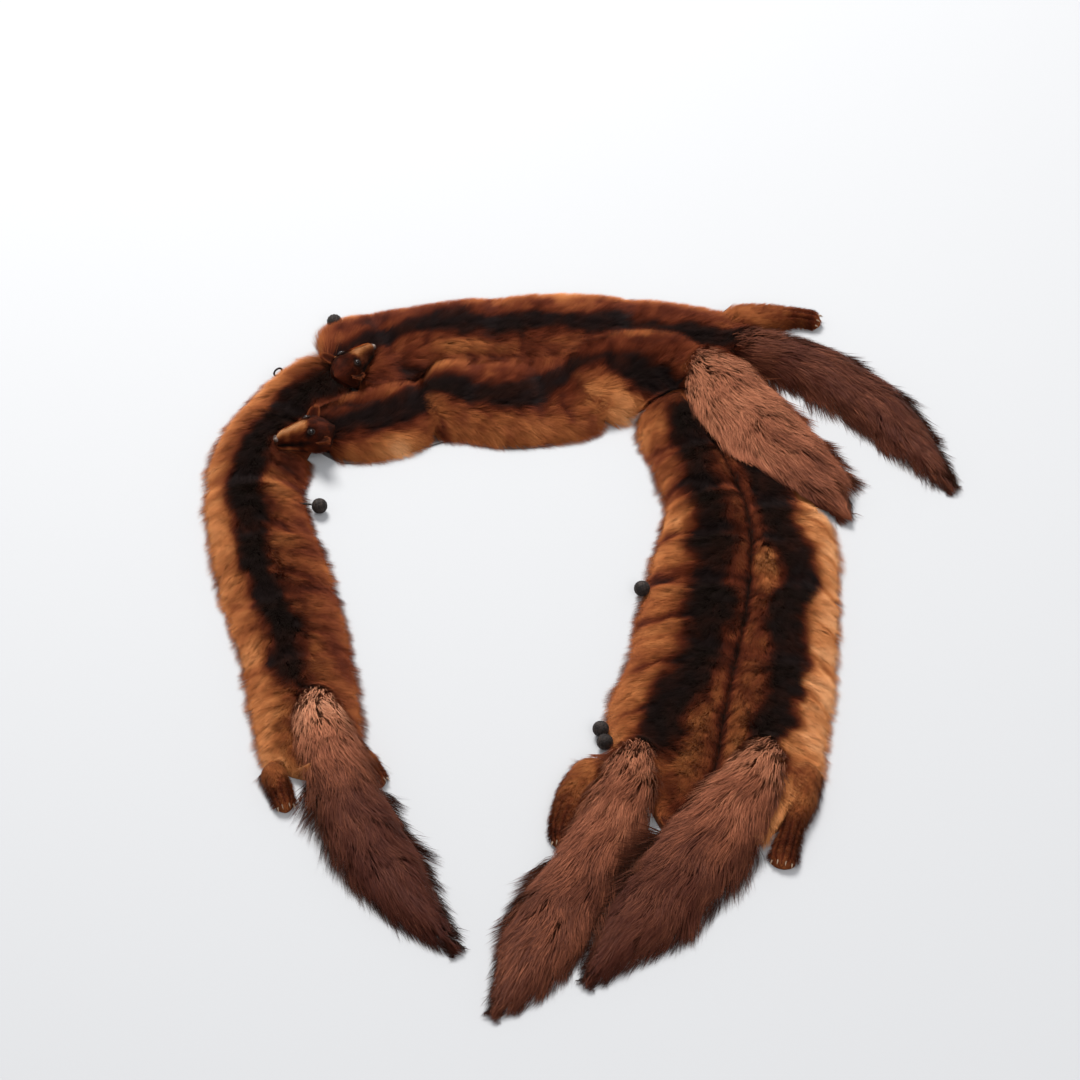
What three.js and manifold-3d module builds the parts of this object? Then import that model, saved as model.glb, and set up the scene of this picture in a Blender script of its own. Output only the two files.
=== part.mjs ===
// Fur collar stole: five dressed skins with their tails, hind paws and heads, sewn into a
// horseshoe and laid out flat, open side towards the viewer. Each skin is leather with its
// pile standing on it, so a skin's solid is as thick as its fur.
// Millimetres, +X right, +Y away from the viewer, +Z up, with the underside at Z = 0.
import * as THREE from 'three';
import { mergeVertices } from 'three/addons/utils/BufferGeometryUtils.js';
import Module from 'manifold-3d';

const wasm = await Module();
wasm.setup();

// Driving dimensions
const CLEARANCE = 0.3;
const LINING_THICKNESS = 1.0;
const PILE = 16;
const STATION_STEP = 10;
const TAIL_STEP = 13;
const SKIN_FACETS = 10;
const TAIL_FACETS = 10;
const SMALL_FACETS = 6;
const BUTTON_RADIUS = 5.2;
const BUTTON_RIBS = 7;
const EYE_RADIUS = 1.7;
const NOSE_RADIUS = 2.4;
const EAR_WIDTH = 8;
const EAR_HEIGHT = 8;
const EAR_THICKNESS = 1.6;
const EAR_ROOT = 2;
const EAR_LEAN = 1.1;
const EAR_TURN = 0.6;
const CREASE_PINCH = 0.4;
const LOOP_RADIUS = 3;
const CORD_RADIUS = 0.7;

// A section table's rows as objects with named columns.
function table(columns, rows) {
  return rows.map((row) => Object.fromEntries(columns.map((name, i) => [name, row[i]])));
}

// Every strip is walked from its head end to its rump or tip. left and right are its half
// widths to each side of the middle line, crown is the height of its top over the floor.
const SECTION = ['x', 'y', 'left', 'right', 'crown'];

const LEFT_SKIN = table(SECTION, [
  [-124, 152, 15, 30, 21],
  [-143, 134, 24, 31, 20],
  [-165, 104, 30, 33, PILE + 1],
  [-180, 66, 31, 33, PILE],
  [-182, 28, 31, 32, PILE],
  [-172, -22, 35, 34, PILE],
  [-158, -74, 35, 34, PILE],
  [-147, -125, 33, 33, PILE],
  [-141, -162, 32, 33, PILE - 1],
  [-137, -203, 31, 30, PILE - 3],
]);

const REAR_SKIN = table(SECTION, [
  [-139, 150, 30, 30, PILE - 3],
  [-122, 161, 41, 38, PILE],
  [-100, 171, 39, 37, PILE + 2],
  [-72, 182, 33, 28, PILE + 2],
  [-38, 187, 34, 34, PILE + 2],
  [2, 188, 36, 36, PILE + 2],
  [42, 188, 35, 36, PILE + 2],
  [82, 185, 32, 34, PILE + 1],
  [116, 179, 29, 29, PILE],
  [146, 171, 24, 22, PILE - 3],
]);

const NECK_SKIN = table(SECTION, [
  [-150, 88, 11, 12, 22],
  [-136, 92, 19, 21, 20],
  [-116, 97, 28, 27, PILE + 2],
  [-96, 102, 33, 27, PILE + 2],
  [-66, 112, 40, 23, PILE],
]);

const BODY_SKIN = table(SECTION, [
  [-83, 123, 34, 34, PILE + 3],
  [-55, 120, 37, 31, PILE + 3],
  [-27, 118, 37, 34.5, PILE + 2],
  [2, 119, 36, 34, PILE + 2],
  [30, 125, 32, 32, PILE],
  [46, 130, 28, 28, PILE - 2],
]);

const HIP_SKIN = table(SECTION, [
  [14, 140, 35, 30, PILE + 5],
  [36, 141, 37, 40, PILE + 6],
  [60, 149, 34, 36, PILE + 7],
  [84, 154, 26, 29, PILE + 7],
  [112, 152, 20, 24, PILE + 6],
]);

// The right arm is two skins joined along one seam: x and y are the seam's, left is the outer
// skin's width and right is the inner skin's.
const RIGHT_ARM = table(SECTION, [
  [95, 137, 32, 36, PILE - 4],
  [106, 105, 40, 44, PILE - 2],
  [118, 70, 47, 46, PILE],
  [129, 35, 50, 50, PILE],
  [134, 0, 53, 58, PILE],
  [132, -40, 56, 63, PILE],
  [127, -80, 58, 66, PILE],
  [119, -120, 63, 66, PILE],
  [112, -160, 63, 71, PILE],
  [106, -198, 62, 61, PILE],
  [94, -224, 52, 44, PILE - 2],
  [76, -246, 34, 28, PILE - 5],
]);

const TAIL_LEFT = table(SECTION, [
  [-138, -136, 15, 16, PILE + 5],
  [-132, -166, 19, 22, PILE + 8],
  [-122, -200, 22, 22, PILE + 6],
  [-109, -240, 23, 22, PILE + 2],
  [-91, -276, 22, 21, PILE],
  [-71, -307, 15, 14, 12],
  [-49, -335, 3, 3, 6],
]);

const TAIL_BAND_REAR = table(SECTION, [
  [124, 176, 16, 16, PILE + 5],
  [146, 167, 20, 20, PILE + 6],
  [172, 158, 21, 21, PILE + 3],
  [198, 138, 21, 20, PILE + 1],
  [222, 112, 21, 18, PILE],
  [243, 80, 14, 13, 12],
  [266, 43, 3, 3, 6],
]);

const TAIL_BAND_FRONT = table(SECTION, [
  [101, 160, 16, 17, PILE + 9],
  [114, 139, 25, 25, PILE + 12],
  [129, 112, 29, 29, PILE + 12],
  [146, 83, 30, 29, PILE + 12],
  [164, 57, 28, 24, PILE + 9],
  [179, 38, 24, 18, PILE + 4],
  [191, 22, 13, 10, 15],
]);

const TAIL_RIGHT_INNER = table(SECTION, [
  [60, -178, 15, 14, PILE + 6],
  [54, -205, 22, 20, PILE + 8],
  [43, -238, 23, 22, PILE + 6],
  [29, -271, 24, 22, PILE + 2],
  [13, -303, 26, 24, PILE],
  [-1, -334, 23, 22, 14],
  [-14, -362, 14, 14, 10],
  [-27, -382, 3, 3, 6],
]);

const TAIL_RIGHT_OUTER = table(SECTION, [
  [140, -178, 16, 16, PILE + 6],
  [130, -206, 22, 22, PILE + 8],
  [111, -240, 27, 27, PILE + 6],
  [89, -272, 27, 28, PILE + 2],
  [68, -301, 26, 26, PILE],
  [48, -328, 18, 17, 13],
  [27, -359, 3, 3, 6],
]);

// The tails, and how blunt the tip of each is.
const TAILS = {
  tail_left: { rows: TAIL_LEFT, tipRound: 5 },
  tail_band_rear: { rows: TAIL_BAND_REAR, tipRound: 5 },
  tail_band_front: { rows: TAIL_BAND_FRONT, tipRound: 8 },
  tail_right_inner: { rows: TAIL_RIGHT_INNER, tipRound: 5 },
  tail_right_outer: { rows: TAIL_RIGHT_OUTER, tipRound: 5 },
};

// Creases across a skin: at is millimetres from its head end, depth and width are its trough's.
const CREASE = ['at', 'depth', 'width'];
const LEFT_CREASES = table(CREASE, [[62, 2.5, 9], [128, 3.5, 8], [176, 2, 9], [232, 2, 10], [286, 2, 10]]);
const REAR_CREASES = table(CREASE, [[44, 2, 9], [118, 2, 12], [206, 2.5, 10]]);
const BODY_CREASES = table(CREASE, [[40, 2, 9], [84, 2.5, 9]]);
const OUTER_CREASES = table(CREASE, [[72, 2, 9], [124, 3, 8], [190, 2.5, 10], [252, 2, 10]]);
const INNER_CREASES = table(CREASE, [[58, 3.5, 8], [102, 3.5, 8], [146, 3, 9], [192, 3, 9], [250, 2, 10]]);

// Hind paws, each walked from where it leaves the skin to its toes.
const PAWS = {
  paw_left_outer: table(SECTION, [
    [-163, -194, 10, 10, 13],
    [-157, -212, 8, 8, 12],
    [-152, -228, 7, 7, 10],
  ]),
  paw_left_inner: table(SECTION, [
    [-112, -184, 11, 11, 13],
    [-103, -197, 8, 8, 12],
    [-95, -208, 7, 7, 10],
  ]),
  paw_band_rear: table(SECTION, [
    [126, 197, 14, 14, 16],
    [149, 201, 11, 13, 15],
    [170, 203, 7, 8, 12],
    [187, 199, 8, 8, 11],
  ]),
  paw_right_inner: table(SECTION, [
    [40, -194, 14, 16, 14],
    [26, -214, 12, 15, 13],
    [16, -238, 9, 11, 12],
    [12, -257, 7, 7, 10],
  ]),
  paw_right_outer: table(SECTION, [
    [157, -194, 14, 14, 15],
    [157, -220, 11, 10, 13],
    [150, -244, 8, 8, 12],
    [143, -272, 10, 10, 10],
  ]),
};

// Heads, each walked from its nape to its snout. They lie chin down on the skins.
const HEADS = {
  left: table(SECTION, [
    [-133, 131, 8, 8, 22],
    [-127, 140, 11.5, 11.5, 27],
    [-118.5, 150, 7.5, 7.5, 25.5],
    [-110, 160, 4, 4, 21],
  ]),
  band: table(SECTION, [
    [-134, 84, 8, 8, 22],
    [-146, 81, 12, 12, 27],
    [-158, 77.5, 7.5, 7.5, 25.5],
    [-170.5, 74, 4, 4, 21],
  ]),
};
const CHIN_HEIGHT = 9;
// What is set on a head: share is how far from nape to snout, out is how far to each side of
// the middle line, up is the height over the surface that the stole lies on.
const ON_HEAD = {
  eye: { share: 0.42, out: 6.8, up: 24 },
  ear: { share: 0.3, out: 10.5, up: 19.5 },
  nose: { share: 1, out: 0, up: 17.5 },
};
// The left side and the right side of a head.
const SIDES = [1, -1];

// Ball buttons: x, y and z of each centre. Each rests on the surface, against the fur.
const BUTTONS = table(['x', 'y', 'z'], [
  [-137, 197, 5.5],
  [-141, 25, 5.5],
  [64, -48, 6],
  [37, -165.2, 5.5],
  [39.4, -175.8, 5.5],
]);
const BUTTON_TILT = 0.9;
const BUTTON_SPIN = 0.5;
const RIB_HOLLOW = 0.95;
// The stem of the second button comes out from under the fur.
const SHANK = [[-155, 27, 6], [-146.6, 26, 5.8]];
// The loop that the first head is fastened with.
const LOOP = { x: -172.5, y: 147, z: 7, tip: -0.5, turn: 0.6 };

// The band's lining: a flat sheet whose front edge shows a little below the fur.
const LINING = table(['x', 'front', 'back'], [
  [-141, 77, 150],
  [-128, 69, 185],
  [-110, 69.5, 198],
  [-92, 75, 203],
  [-72, 84, 207],
  [-58, 89, 210],
  [-44, 86, 212],
  [-25, 82, 215],
  [-4, 83, 216],
  [16, 88, 216],
  [36, 103, 214],
  [54, 118, 210],
]);

// The cross section of fur: the crown falls to an edge as (1 - |t|^DOME_ROUND)^DOME_FULL of
// its height, t being 0 on the middle line and 1 at the edge.
const DOME_ROUND = 2.4;
const DOME_FULL = 0.6;
// The share of the crown that is left at the very end of a strip, before it closes.
const END_CROWN = 0.45;
// The share of the crown that stands as a low wall at an edge: little where the fur ends
// freely, more where it laps over a neighbour, most where two skins are sewn side by side.
const FREE_EDGE = 0.15;
const LAPPED_EDGE = 0.5;
const SEAM_EDGE = 0.62;
// Angles of the sections that round off an end
const END_TURNS = [0.12, 0.4, 0.75, 1.15];

// How skins, tails, paws and heads are formed. step is the spacing of the sections, facets the
// number of faces over the top, startRound and endRound the lengths that the ends round off
// over, wall the share at the left edge and at the right edge. locks notch a tail's sides.
const SKIN_FORM = {
  step: STATION_STEP,
  facets: SKIN_FACETS,
  startRound: 20,
  endRound: 24,
  wall: [0.2, 0.2],
};
const TAIL_FORM = {
  step: TAIL_STEP,
  facets: TAIL_FACETS,
  startRound: 14,
  wall: [0.2, 0.2],
  locks: { depth: 0.06, pitch: 39 },
};
const PAW_FORM = { step: 5, facets: SMALL_FACETS, startRound: 6, endRound: 6, wall: [0.3, 0.3] };
const HEAD_FORM = { ...PAW_FORM, step: 4, foot: CHIN_HEIGHT, startRound: 5, endRound: 4 };

// The skins in the order in which they are laid.
const SKINS = {
  skin_band_rear: {
    rows: REAR_SKIN,
    foot: LINING_THICKNESS + CLEARANCE,
    creases: REAR_CREASES,
    wall: [FREE_EDGE, SEAM_EDGE],
  },
  skin_left: { rows: LEFT_SKIN, creases: LEFT_CREASES },
  skin_right_outer: {
    rows: RIGHT_ARM,
    creases: OUTER_CREASES,
    wall: [FREE_EDGE, SEAM_EDGE],
    side: 'left',
  },
  skin_right_inner: {
    rows: RIGHT_ARM,
    creases: INNER_CREASES,
    wall: [SEAM_EDGE, FREE_EDGE],
    side: 'right',
  },
  skin_band_neck: { rows: NECK_SKIN, startRound: 8, wall: [LAPPED_EDGE, FREE_EDGE] },
  skin_band_body: { rows: BODY_SKIN, creases: BODY_CREASES, wall: [LAPPED_EDGE, FREE_EDGE] },
  skin_band_hip: { rows: HIP_SKIN, startRound: 14, wall: [0.4, 0.2] },
};

// Colours and roughness of the pieces
const COLOUR = {
  skin: 0x8a4a20,
  tail: 0x6e3722,
  head: 0x9a6238,
  button: 0x2b2320,
  nose: 0x17120f,
  eye: 0x2a1a10,
  lining: 0x2c2422,
};
const ROUGHNESS = { skin: 0.9, tail: 0.85, head: 0.8, button: 0.8, nose: 0.35, eye: 0.1, lining: 0.5 };

function furnish(kind) {
  return new THREE.MeshStandardMaterial({
    color: COLOUR[kind],
    roughness: ROUGHNESS[kind],
    metalness: 0,
    flatShading: true,
  });
}

// One column of a table at place p, counted in rows, on a smooth curve through the rows.
function blend(rows, column, p) {
  const i = Math.min(Math.floor(p), rows.length - 2);
  const f = p - i;
  const pick = (k) => rows[Math.max(0, Math.min(rows.length - 1, k))][column];
  const [a, b, c, d] = [pick(i - 1), pick(i), pick(i + 1), pick(i + 2)];
  const cubic = -a + 3 * b - 3 * c + d;
  const square = 2 * a - 5 * b + 4 * c - d;
  return 0.5 * (2 * b + (c - a) * f + square * f * f + cubic * f * f * f);
}

// The middle line of a table as fine points, each with its length from the start.
function walk(rows) {
  const perRow = 24;
  const count = (rows.length - 1) * perRow;
  const points = [];
  let along = 0;
  for (let i = 0; i <= count; i += 1) {
    const p = i / perRow;
    const point = { p, x: blend(rows, 'x', p), y: blend(rows, 'y', p) };
    if (i > 0) along += Math.hypot(point.x - points[i - 1].x, point.y - points[i - 1].y);
    points.push({ ...point, along });
  }
  return points;
}

// Where a strip has its sections: close together in its two round ends, even between them.
function stations(length, step, startRound, endRound) {
  const start = END_TURNS.map((angle) => startRound * (1 - Math.cos(angle)));
  const end = END_TURNS.map((angle) => length - endRound * (1 - Math.cos(angle))).reverse();
  const first = start[start.length - 1];
  const gap = end[0] - first;
  const count = Math.max(1, Math.round(gap / step));
  const middle = Array.from({ length: count - 1 }, (_, i) => first + (gap * (i + 1)) / count);
  return [...start, ...middle, ...end];
}

// How far an end's rounding has opened at a distance from that end, from 0 to 1.
function opening(distance, round) {
  const left = 1 - Math.min(1, Math.max(0, distance) / round);
  return Math.sqrt(Math.max(0, 1 - left * left));
}

// Depth of the creases at a distance along a strip.
function creaseDepth(creases, along) {
  const trough = (row) => row.depth * Math.exp(-(((along - row.at) / row.width) ** 2));
  return creases.reduce((sum, row) => sum + trough(row), 0);
}

// A closed body through rings, each a list of points, with a fan over each end.
function loft(rings) {
  const size = rings[0].length;
  const positions = rings.flat(2);
  const index = [];
  for (let i = 0; i + 1 < rings.length; i += 1) {
    for (let j = 0; j < size; j += 1) {
      const [a, b] = [i * size + j, i * size + ((j + 1) % size)];
      index.push(a, b + size, b, a, a + size, b + size);
    }
  }
  const last = (rings.length - 1) * size;
  for (let j = 1; j + 1 < size; j += 1) {
    index.push(0, j, j + 1);
    index.push(last, last + j + 1, last + j);
  }
  const geometry = new THREE.BufferGeometry();
  geometry.setAttribute('position', new THREE.Float32BufferAttribute(positions, 3));
  geometry.setIndex(index);
  return geometry;
}

// A strip of fur: a flat underside at foot and a crowned top, with a low wall at each edge.
// Its ends are rounded, creases press it down and narrow it, and locks notch its sides like
// overlapping tufts. A strip with a side is only that side of its line, up to half a
// clearance from it. grow moves its outside out.
function strip(rows, form, grow = 0) {
  const { step, facets, startRound, endRound, wall, creases = [] } = form;
  const { foot = 0, locks = null, side = 'both' } = form;
  const line = walk(rows);
  const length = line[line.length - 1].along;
  const at = (distance, column) => {
    const i = Math.max(1, line.findIndex((point) => point.along >= distance - 1e-9));
    const [from, to] = [line[i - 1], line[i]];
    const share = (distance - from.along) / (to.along - from.along);
    return blend(rows, column, from.p + (to.p - from.p) * share);
  };
  const rings = stations(length, step, startRound, endRound).map((distance) => {
    const back = Math.max(0, distance - 0.5);
    const ahead = Math.min(length, distance + 0.5);
    const [dx, dy] = [at(ahead, 'x') - at(back, 'x'), at(ahead, 'y') - at(back, 'y')];
    const size = Math.hypot(dx, dy);
    const [nx, ny] = [-dy / size, dx / size];
    const open = opening(distance, startRound) * opening(length - distance, endRound);
    const pressed = creaseDepth(creases, distance);
    const pinch = pressed * CREASE_PINCH;
    const notch = locks ? 1 + locks.depth * Math.cos((2 * Math.PI * distance) / locks.pitch) : 1;
    const left = at(distance, 'left') * open * notch - pinch;
    const right = at(distance, 'right') * open * (2 - notch) - pinch;
    const rise = (at(distance, 'crown') - foot - pressed) * (END_CROWN + (1 - END_CROWN) * open);
    const seam = CLEARANCE / 2;
    const reaches = {
      both: (t) => t * (t < 0 ? right : left),
      left: (t) => seam + ((t + 1) / 2) * (left - seam),
      right: (t) => -seam - ((1 - t) / 2) * (right - seam),
    };
    const place = (t, z) => {
      const reach = reaches[side](t) + t * grow;
      return [at(distance, 'x') + nx * reach, at(distance, 'y') + ny * reach, z];
    };
    const ring = Array.from({ length: facets + 1 }, (_, k) => {
      const t = -Math.cos((Math.PI * k) / facets);
      const low = wall[t < 0 ? 1 : 0];
      const dome = (1 - Math.abs(t) ** DOME_ROUND) ** DOME_FULL;
      return place(t, foot + grow + rise * (low + (1 - low) * dome));
    });
    return [...ring, place(1, foot - grow), place(-1, foot - grow)];
  });
  return loft(rings);
}

function lining(grow = 0) {
  const front = new THREE.SplineCurve(LINING.map((row) => new THREE.Vector2(row.x, row.front - grow)));
  const back = new THREE.SplineCurve(LINING.map((row) => new THREE.Vector2(row.x, row.back + grow)));
  const shape = new THREE.Shape([...front.getPoints(36), ...back.getPoints(24).reverse()]);
  const depth = LINING_THICKNESS + 2 * grow;
  const sheet = new THREE.ExtrudeGeometry(shape, { depth, bevelEnabled: false });
  return sheet.translate(0, 0, -grow);
}

// A crocheted ball: a sphere with shallow ribs from pole to pole.
function button(place, grow = 0) {
  const crochet = new THREE.SphereGeometry(1, 2 * BUTTON_RIBS, 6);
  const spots = crochet.attributes.position;
  for (let i = 0; i < spots.count; i += 1) {
    const point = new THREE.Vector3().fromBufferAttribute(spots, i);
    const turn = Math.round((Math.atan2(point.z, point.x) * BUTTON_RIBS) / Math.PI);
    const onRib = turn % 2 === 0 || Math.abs(point.y) > 0.99;
    point.multiplyScalar(BUTTON_RADIUS * (onRib ? 1 : RIB_HOLLOW) + grow);
    spots.setXYZ(i, point.x, point.y, point.z);
  }
  return crochet.rotateX(BUTTON_TILT).rotateZ(BUTTON_SPIN).translate(place.x, place.y, place.z);
}

// The button's stem: a round cord along its points.
function shank(grow = 0) {
  const path = new THREE.CatmullRomCurve3(SHANK.map((point) => new THREE.Vector3(...point)));
  const section = new THREE.Shape().absarc(0, 0, CORD_RADIUS + grow, 0, 2 * Math.PI, false);
  return new THREE.ExtrudeGeometry(section, { steps: 2, curveSegments: 4, extrudePath: path });
}

function cordLoop(grow = 0) {
  const ring = new THREE.TorusGeometry(LOOP_RADIUS, CORD_RADIUS + grow, 5, 14);
  ring.rotateX(Math.PI / 2).rotateY(LOOP.tip).rotateZ(LOOP.turn);
  return ring.translate(LOOP.x, LOOP.y, LOOP.z);
}

// Where a feature is set on a head, and which way the head points.
function onHead(rows, feature, side) {
  const { share, out, up } = ON_HEAD[feature];
  const p = share * (rows.length - 1);
  const [nape, snout] = [rows[0], rows[rows.length - 1]];
  const heading = Math.atan2(snout.y - nape.y, snout.x - nape.x);
  return {
    x: blend(rows, 'x', p) - Math.sin(heading) * side * out,
    y: blend(rows, 'y', p) + Math.cos(heading) * side * out,
    z: up,
    heading,
  };
}

function ball(place, radius, grow = 0) {
  return new THREE.SphereGeometry(radius + grow, 8, 6).translate(place.x, place.y, place.z);
}

// An ear: half an ellipse of thin leather on a short root, leaning out from the head's side.
function ear(place, side, grow = 0) {
  const half = EAR_WIDTH / 2 + grow;
  const shape = new THREE.Shape();
  shape.moveTo(-half, -EAR_ROOT);
  shape.lineTo(half, -EAR_ROOT);
  shape.lineTo(half, 0);
  shape.absellipse(0, 0, half, EAR_HEIGHT + grow, 0, Math.PI, false);
  const depth = EAR_THICKNESS + 2 * grow;
  const leather = new THREE.ExtrudeGeometry(shape, { depth, bevelEnabled: false, curveSegments: 4 });
  leather.translate(0, 0, -depth / 2).rotateX(Math.PI / 2 - side * EAR_LEAN);
  leather.rotateZ(place.heading + side * EAR_TURN);
  return leather.translate(place.x, place.y, place.z);
}

// A closed solid from a geometry whose shared corners are merged.
function solid(geometry) {
  const bare = geometry.clone();
  bare.deleteAttribute('normal');
  bare.deleteAttribute('uv');
  const merged = mergeVertices(bare, 1e-4);
  const vertProperties = new Float32Array(merged.attributes.position.array);
  const triVerts = new Uint32Array(merged.index.array);
  return new wasm.Manifold(new wasm.Mesh({ numProp: 3, vertProperties, triVerts }));
}

function geometryOf(body) {
  const cut = body.getMesh();
  const geometry = new THREE.BufferGeometry();
  geometry.setAttribute('position', new THREE.BufferAttribute(new Float32Array(cut.vertProperties), 3));
  geometry.setIndex(new THREE.BufferAttribute(new Uint32Array(cut.triVerts), 1));
  return geometry;
}

function touches(a, b) {
  const [first, second] = [a.boundingBox(), b.boundingBox()];
  return [0, 1, 2].every((i) => first.min[i] < second.max[i] && second.min[i] < first.max[i]);
}

// One head with its eyes, nose and ears. The eyes come before the head, which is cut to them.
function headPieces(name, rows) {
  const eyes = SIDES.map((side, i) => ({
    name: `eye_${name}_${i + 1}`,
    kind: 'eye',
    make: (grow) => ball(onHead(rows, 'eye', side), EYE_RADIUS, grow),
  }));
  const head = { name: `head_${name}`, kind: 'head', make: (grow) => strip(rows, HEAD_FORM, grow) };
  const nose = {
    name: `nose_${name}`,
    kind: 'nose',
    make: (grow) => ball(onHead(rows, 'nose', 1), NOSE_RADIUS, grow),
  };
  const ears = SIDES.map((side, i) => ({
    name: `ear_${name}_${i + 1}`,
    kind: 'head',
    make: (grow) => ear(onHead(rows, 'ear', side), side, grow),
  }));
  return [...eyes, head, nose, ...ears];
}

// All pieces from the lowest to the highest.
function pieces() {
  const fur = (name, kind, rows, form) => ({ name, kind, make: (grow) => strip(rows, form, grow) });
  return [
    { name: 'lining_band', kind: 'lining', make: lining },
    ...BUTTONS.map((place, i) => ({
      name: `button_${i + 1}`,
      kind: 'button',
      make: (grow) => button(place, grow),
    })),
    { name: 'button_shank', kind: 'button', make: shank },
    { name: 'cord_loop', kind: 'button', make: cordLoop },
    ...Object.entries(SKINS).map(([name, { rows, ...form }]) => (
      fur(name, 'skin', rows, { ...SKIN_FORM, ...form })
    )),
    ...Object.entries(PAWS).map(([name, rows]) => fur(name, 'skin', rows, PAW_FORM)),
    ...Object.entries(TAILS).map(([name, { rows, tipRound }]) => (
      fur(name, 'tail', rows, { ...TAIL_FORM, endRound: tipRound })
    )),
    ...Object.entries(HEADS).flatMap(([name, rows]) => headPieces(name, rows)),
  ];
}

// Lays the pieces up in order and returns the finished, centred group. What lies on a piece is
// cut to its form, with the clearance between them, as the soft upper pieces settle on the
// lower ones. Of a piece cut in two, the larger part is kept.
function layUp(list) {
  const group = new THREE.Group();
  const laid = [];
  list.forEach((piece) => {
    const whole = solid(piece.make(0));
    const lower = laid.filter((other) => touches(other, whole));
    const fitted = lower.reduce((body, other) => body.subtract(other), whole);
    const [largest] = fitted.decompose().sort((a, b) => b.volume() - a.volume());
    const mesh = new THREE.Mesh(geometryOf(largest), furnish(piece.kind));
    mesh.name = piece.name;
    group.add(mesh);
    laid.push(solid(piece.make(CLEARANCE)));
  });
  const box = new THREE.Box3().setFromObject(group);
  const centre = box.getCenter(new THREE.Vector3());
  group.position.set(-centre.x, -centre.y, -box.min.z);
  return group;
}

const group = layUp(pieces());

export default group;
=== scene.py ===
import math

import bpy
import numpy as np
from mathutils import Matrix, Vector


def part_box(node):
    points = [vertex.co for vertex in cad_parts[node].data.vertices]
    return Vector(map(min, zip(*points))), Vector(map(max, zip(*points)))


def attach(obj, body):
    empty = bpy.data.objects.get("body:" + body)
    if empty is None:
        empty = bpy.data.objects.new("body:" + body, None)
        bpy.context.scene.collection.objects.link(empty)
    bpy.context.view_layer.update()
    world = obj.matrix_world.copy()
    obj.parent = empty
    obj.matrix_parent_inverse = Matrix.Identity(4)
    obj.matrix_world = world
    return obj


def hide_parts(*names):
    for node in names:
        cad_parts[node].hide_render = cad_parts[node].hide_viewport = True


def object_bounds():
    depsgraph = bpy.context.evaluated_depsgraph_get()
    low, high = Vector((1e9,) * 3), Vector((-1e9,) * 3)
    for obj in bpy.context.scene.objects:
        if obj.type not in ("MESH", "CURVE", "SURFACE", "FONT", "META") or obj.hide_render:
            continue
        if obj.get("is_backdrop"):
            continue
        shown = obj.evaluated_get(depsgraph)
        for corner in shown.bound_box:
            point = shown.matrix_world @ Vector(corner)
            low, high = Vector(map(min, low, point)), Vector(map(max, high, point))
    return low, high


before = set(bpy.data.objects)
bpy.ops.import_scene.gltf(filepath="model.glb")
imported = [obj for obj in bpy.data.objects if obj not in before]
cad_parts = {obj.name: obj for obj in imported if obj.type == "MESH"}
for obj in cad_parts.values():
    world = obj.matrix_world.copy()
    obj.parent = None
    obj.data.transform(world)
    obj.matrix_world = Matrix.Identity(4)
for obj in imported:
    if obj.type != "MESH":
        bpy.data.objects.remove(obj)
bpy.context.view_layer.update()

# The stole's tables below are in millimetres, in the maker's own layout: x to the right, y away
# from the viewer, z up from the surface that it lies on. SHIFT carries them into the frame.
MM = 0.001

# Columns of a section table: the middle line, the half widths to each side of it seen walking
# from the head to the rump or tip, and the height of the top.
X, Y, LEFT, RIGHT, CROWN = range(5)
PILE = 16
LINING_TOP = 1.3

LEFT_SKIN = [
    (-124, 152, 15, 30, 21),
    (-143, 134, 24, 31, 20),
    (-165, 104, 30, 33, PILE + 1),
    (-180, 66, 31, 33, PILE),
    (-182, 28, 31, 32, PILE),
    (-172, -22, 35, 34, PILE),
    (-158, -74, 35, 34, PILE),
    (-147, -125, 33, 33, PILE),
    (-141, -162, 32, 33, PILE - 1),
    (-137, -203, 31, 30, PILE - 3),
]
REAR_SKIN = [
    (-139, 150, 30, 30, PILE - 3),
    (-122, 161, 41, 38, PILE),
    (-100, 171, 39, 37, PILE + 2),
    (-72, 182, 33, 28, PILE + 2),
    (-38, 187, 34, 34, PILE + 2),
    (2, 188, 36, 36, PILE + 2),
    (42, 188, 35, 36, PILE + 2),
    (82, 185, 32, 34, PILE + 1),
    (116, 179, 29, 29, PILE),
    (146, 171, 24, 22, PILE - 3),
]
NECK_SKIN = [
    (-150, 88, 11, 12, 22),
    (-136, 92, 19, 21, 20),
    (-116, 97, 28, 27, PILE + 2),
    (-96, 102, 33, 27, PILE + 2),
    (-66, 112, 40, 23, PILE),
]
BODY_SKIN = [
    (-83, 123, 34, 34, PILE + 3),
    (-55, 120, 37, 31, PILE + 3),
    (-27, 118, 37, 34.5, PILE + 2),
    (2, 119, 36, 34, PILE + 2),
    (30, 125, 32, 32, PILE),
    (46, 130, 28, 28, PILE - 2),
]
HIP_SKIN = [
    (14, 140, 35, 30, PILE + 5),
    (36, 141, 37, 40, PILE + 6),
    (60, 149, 34, 36, PILE + 7),
    (84, 154, 26, 29, PILE + 7),
    (112, 152, 20, 24, PILE + 6),
]
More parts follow.
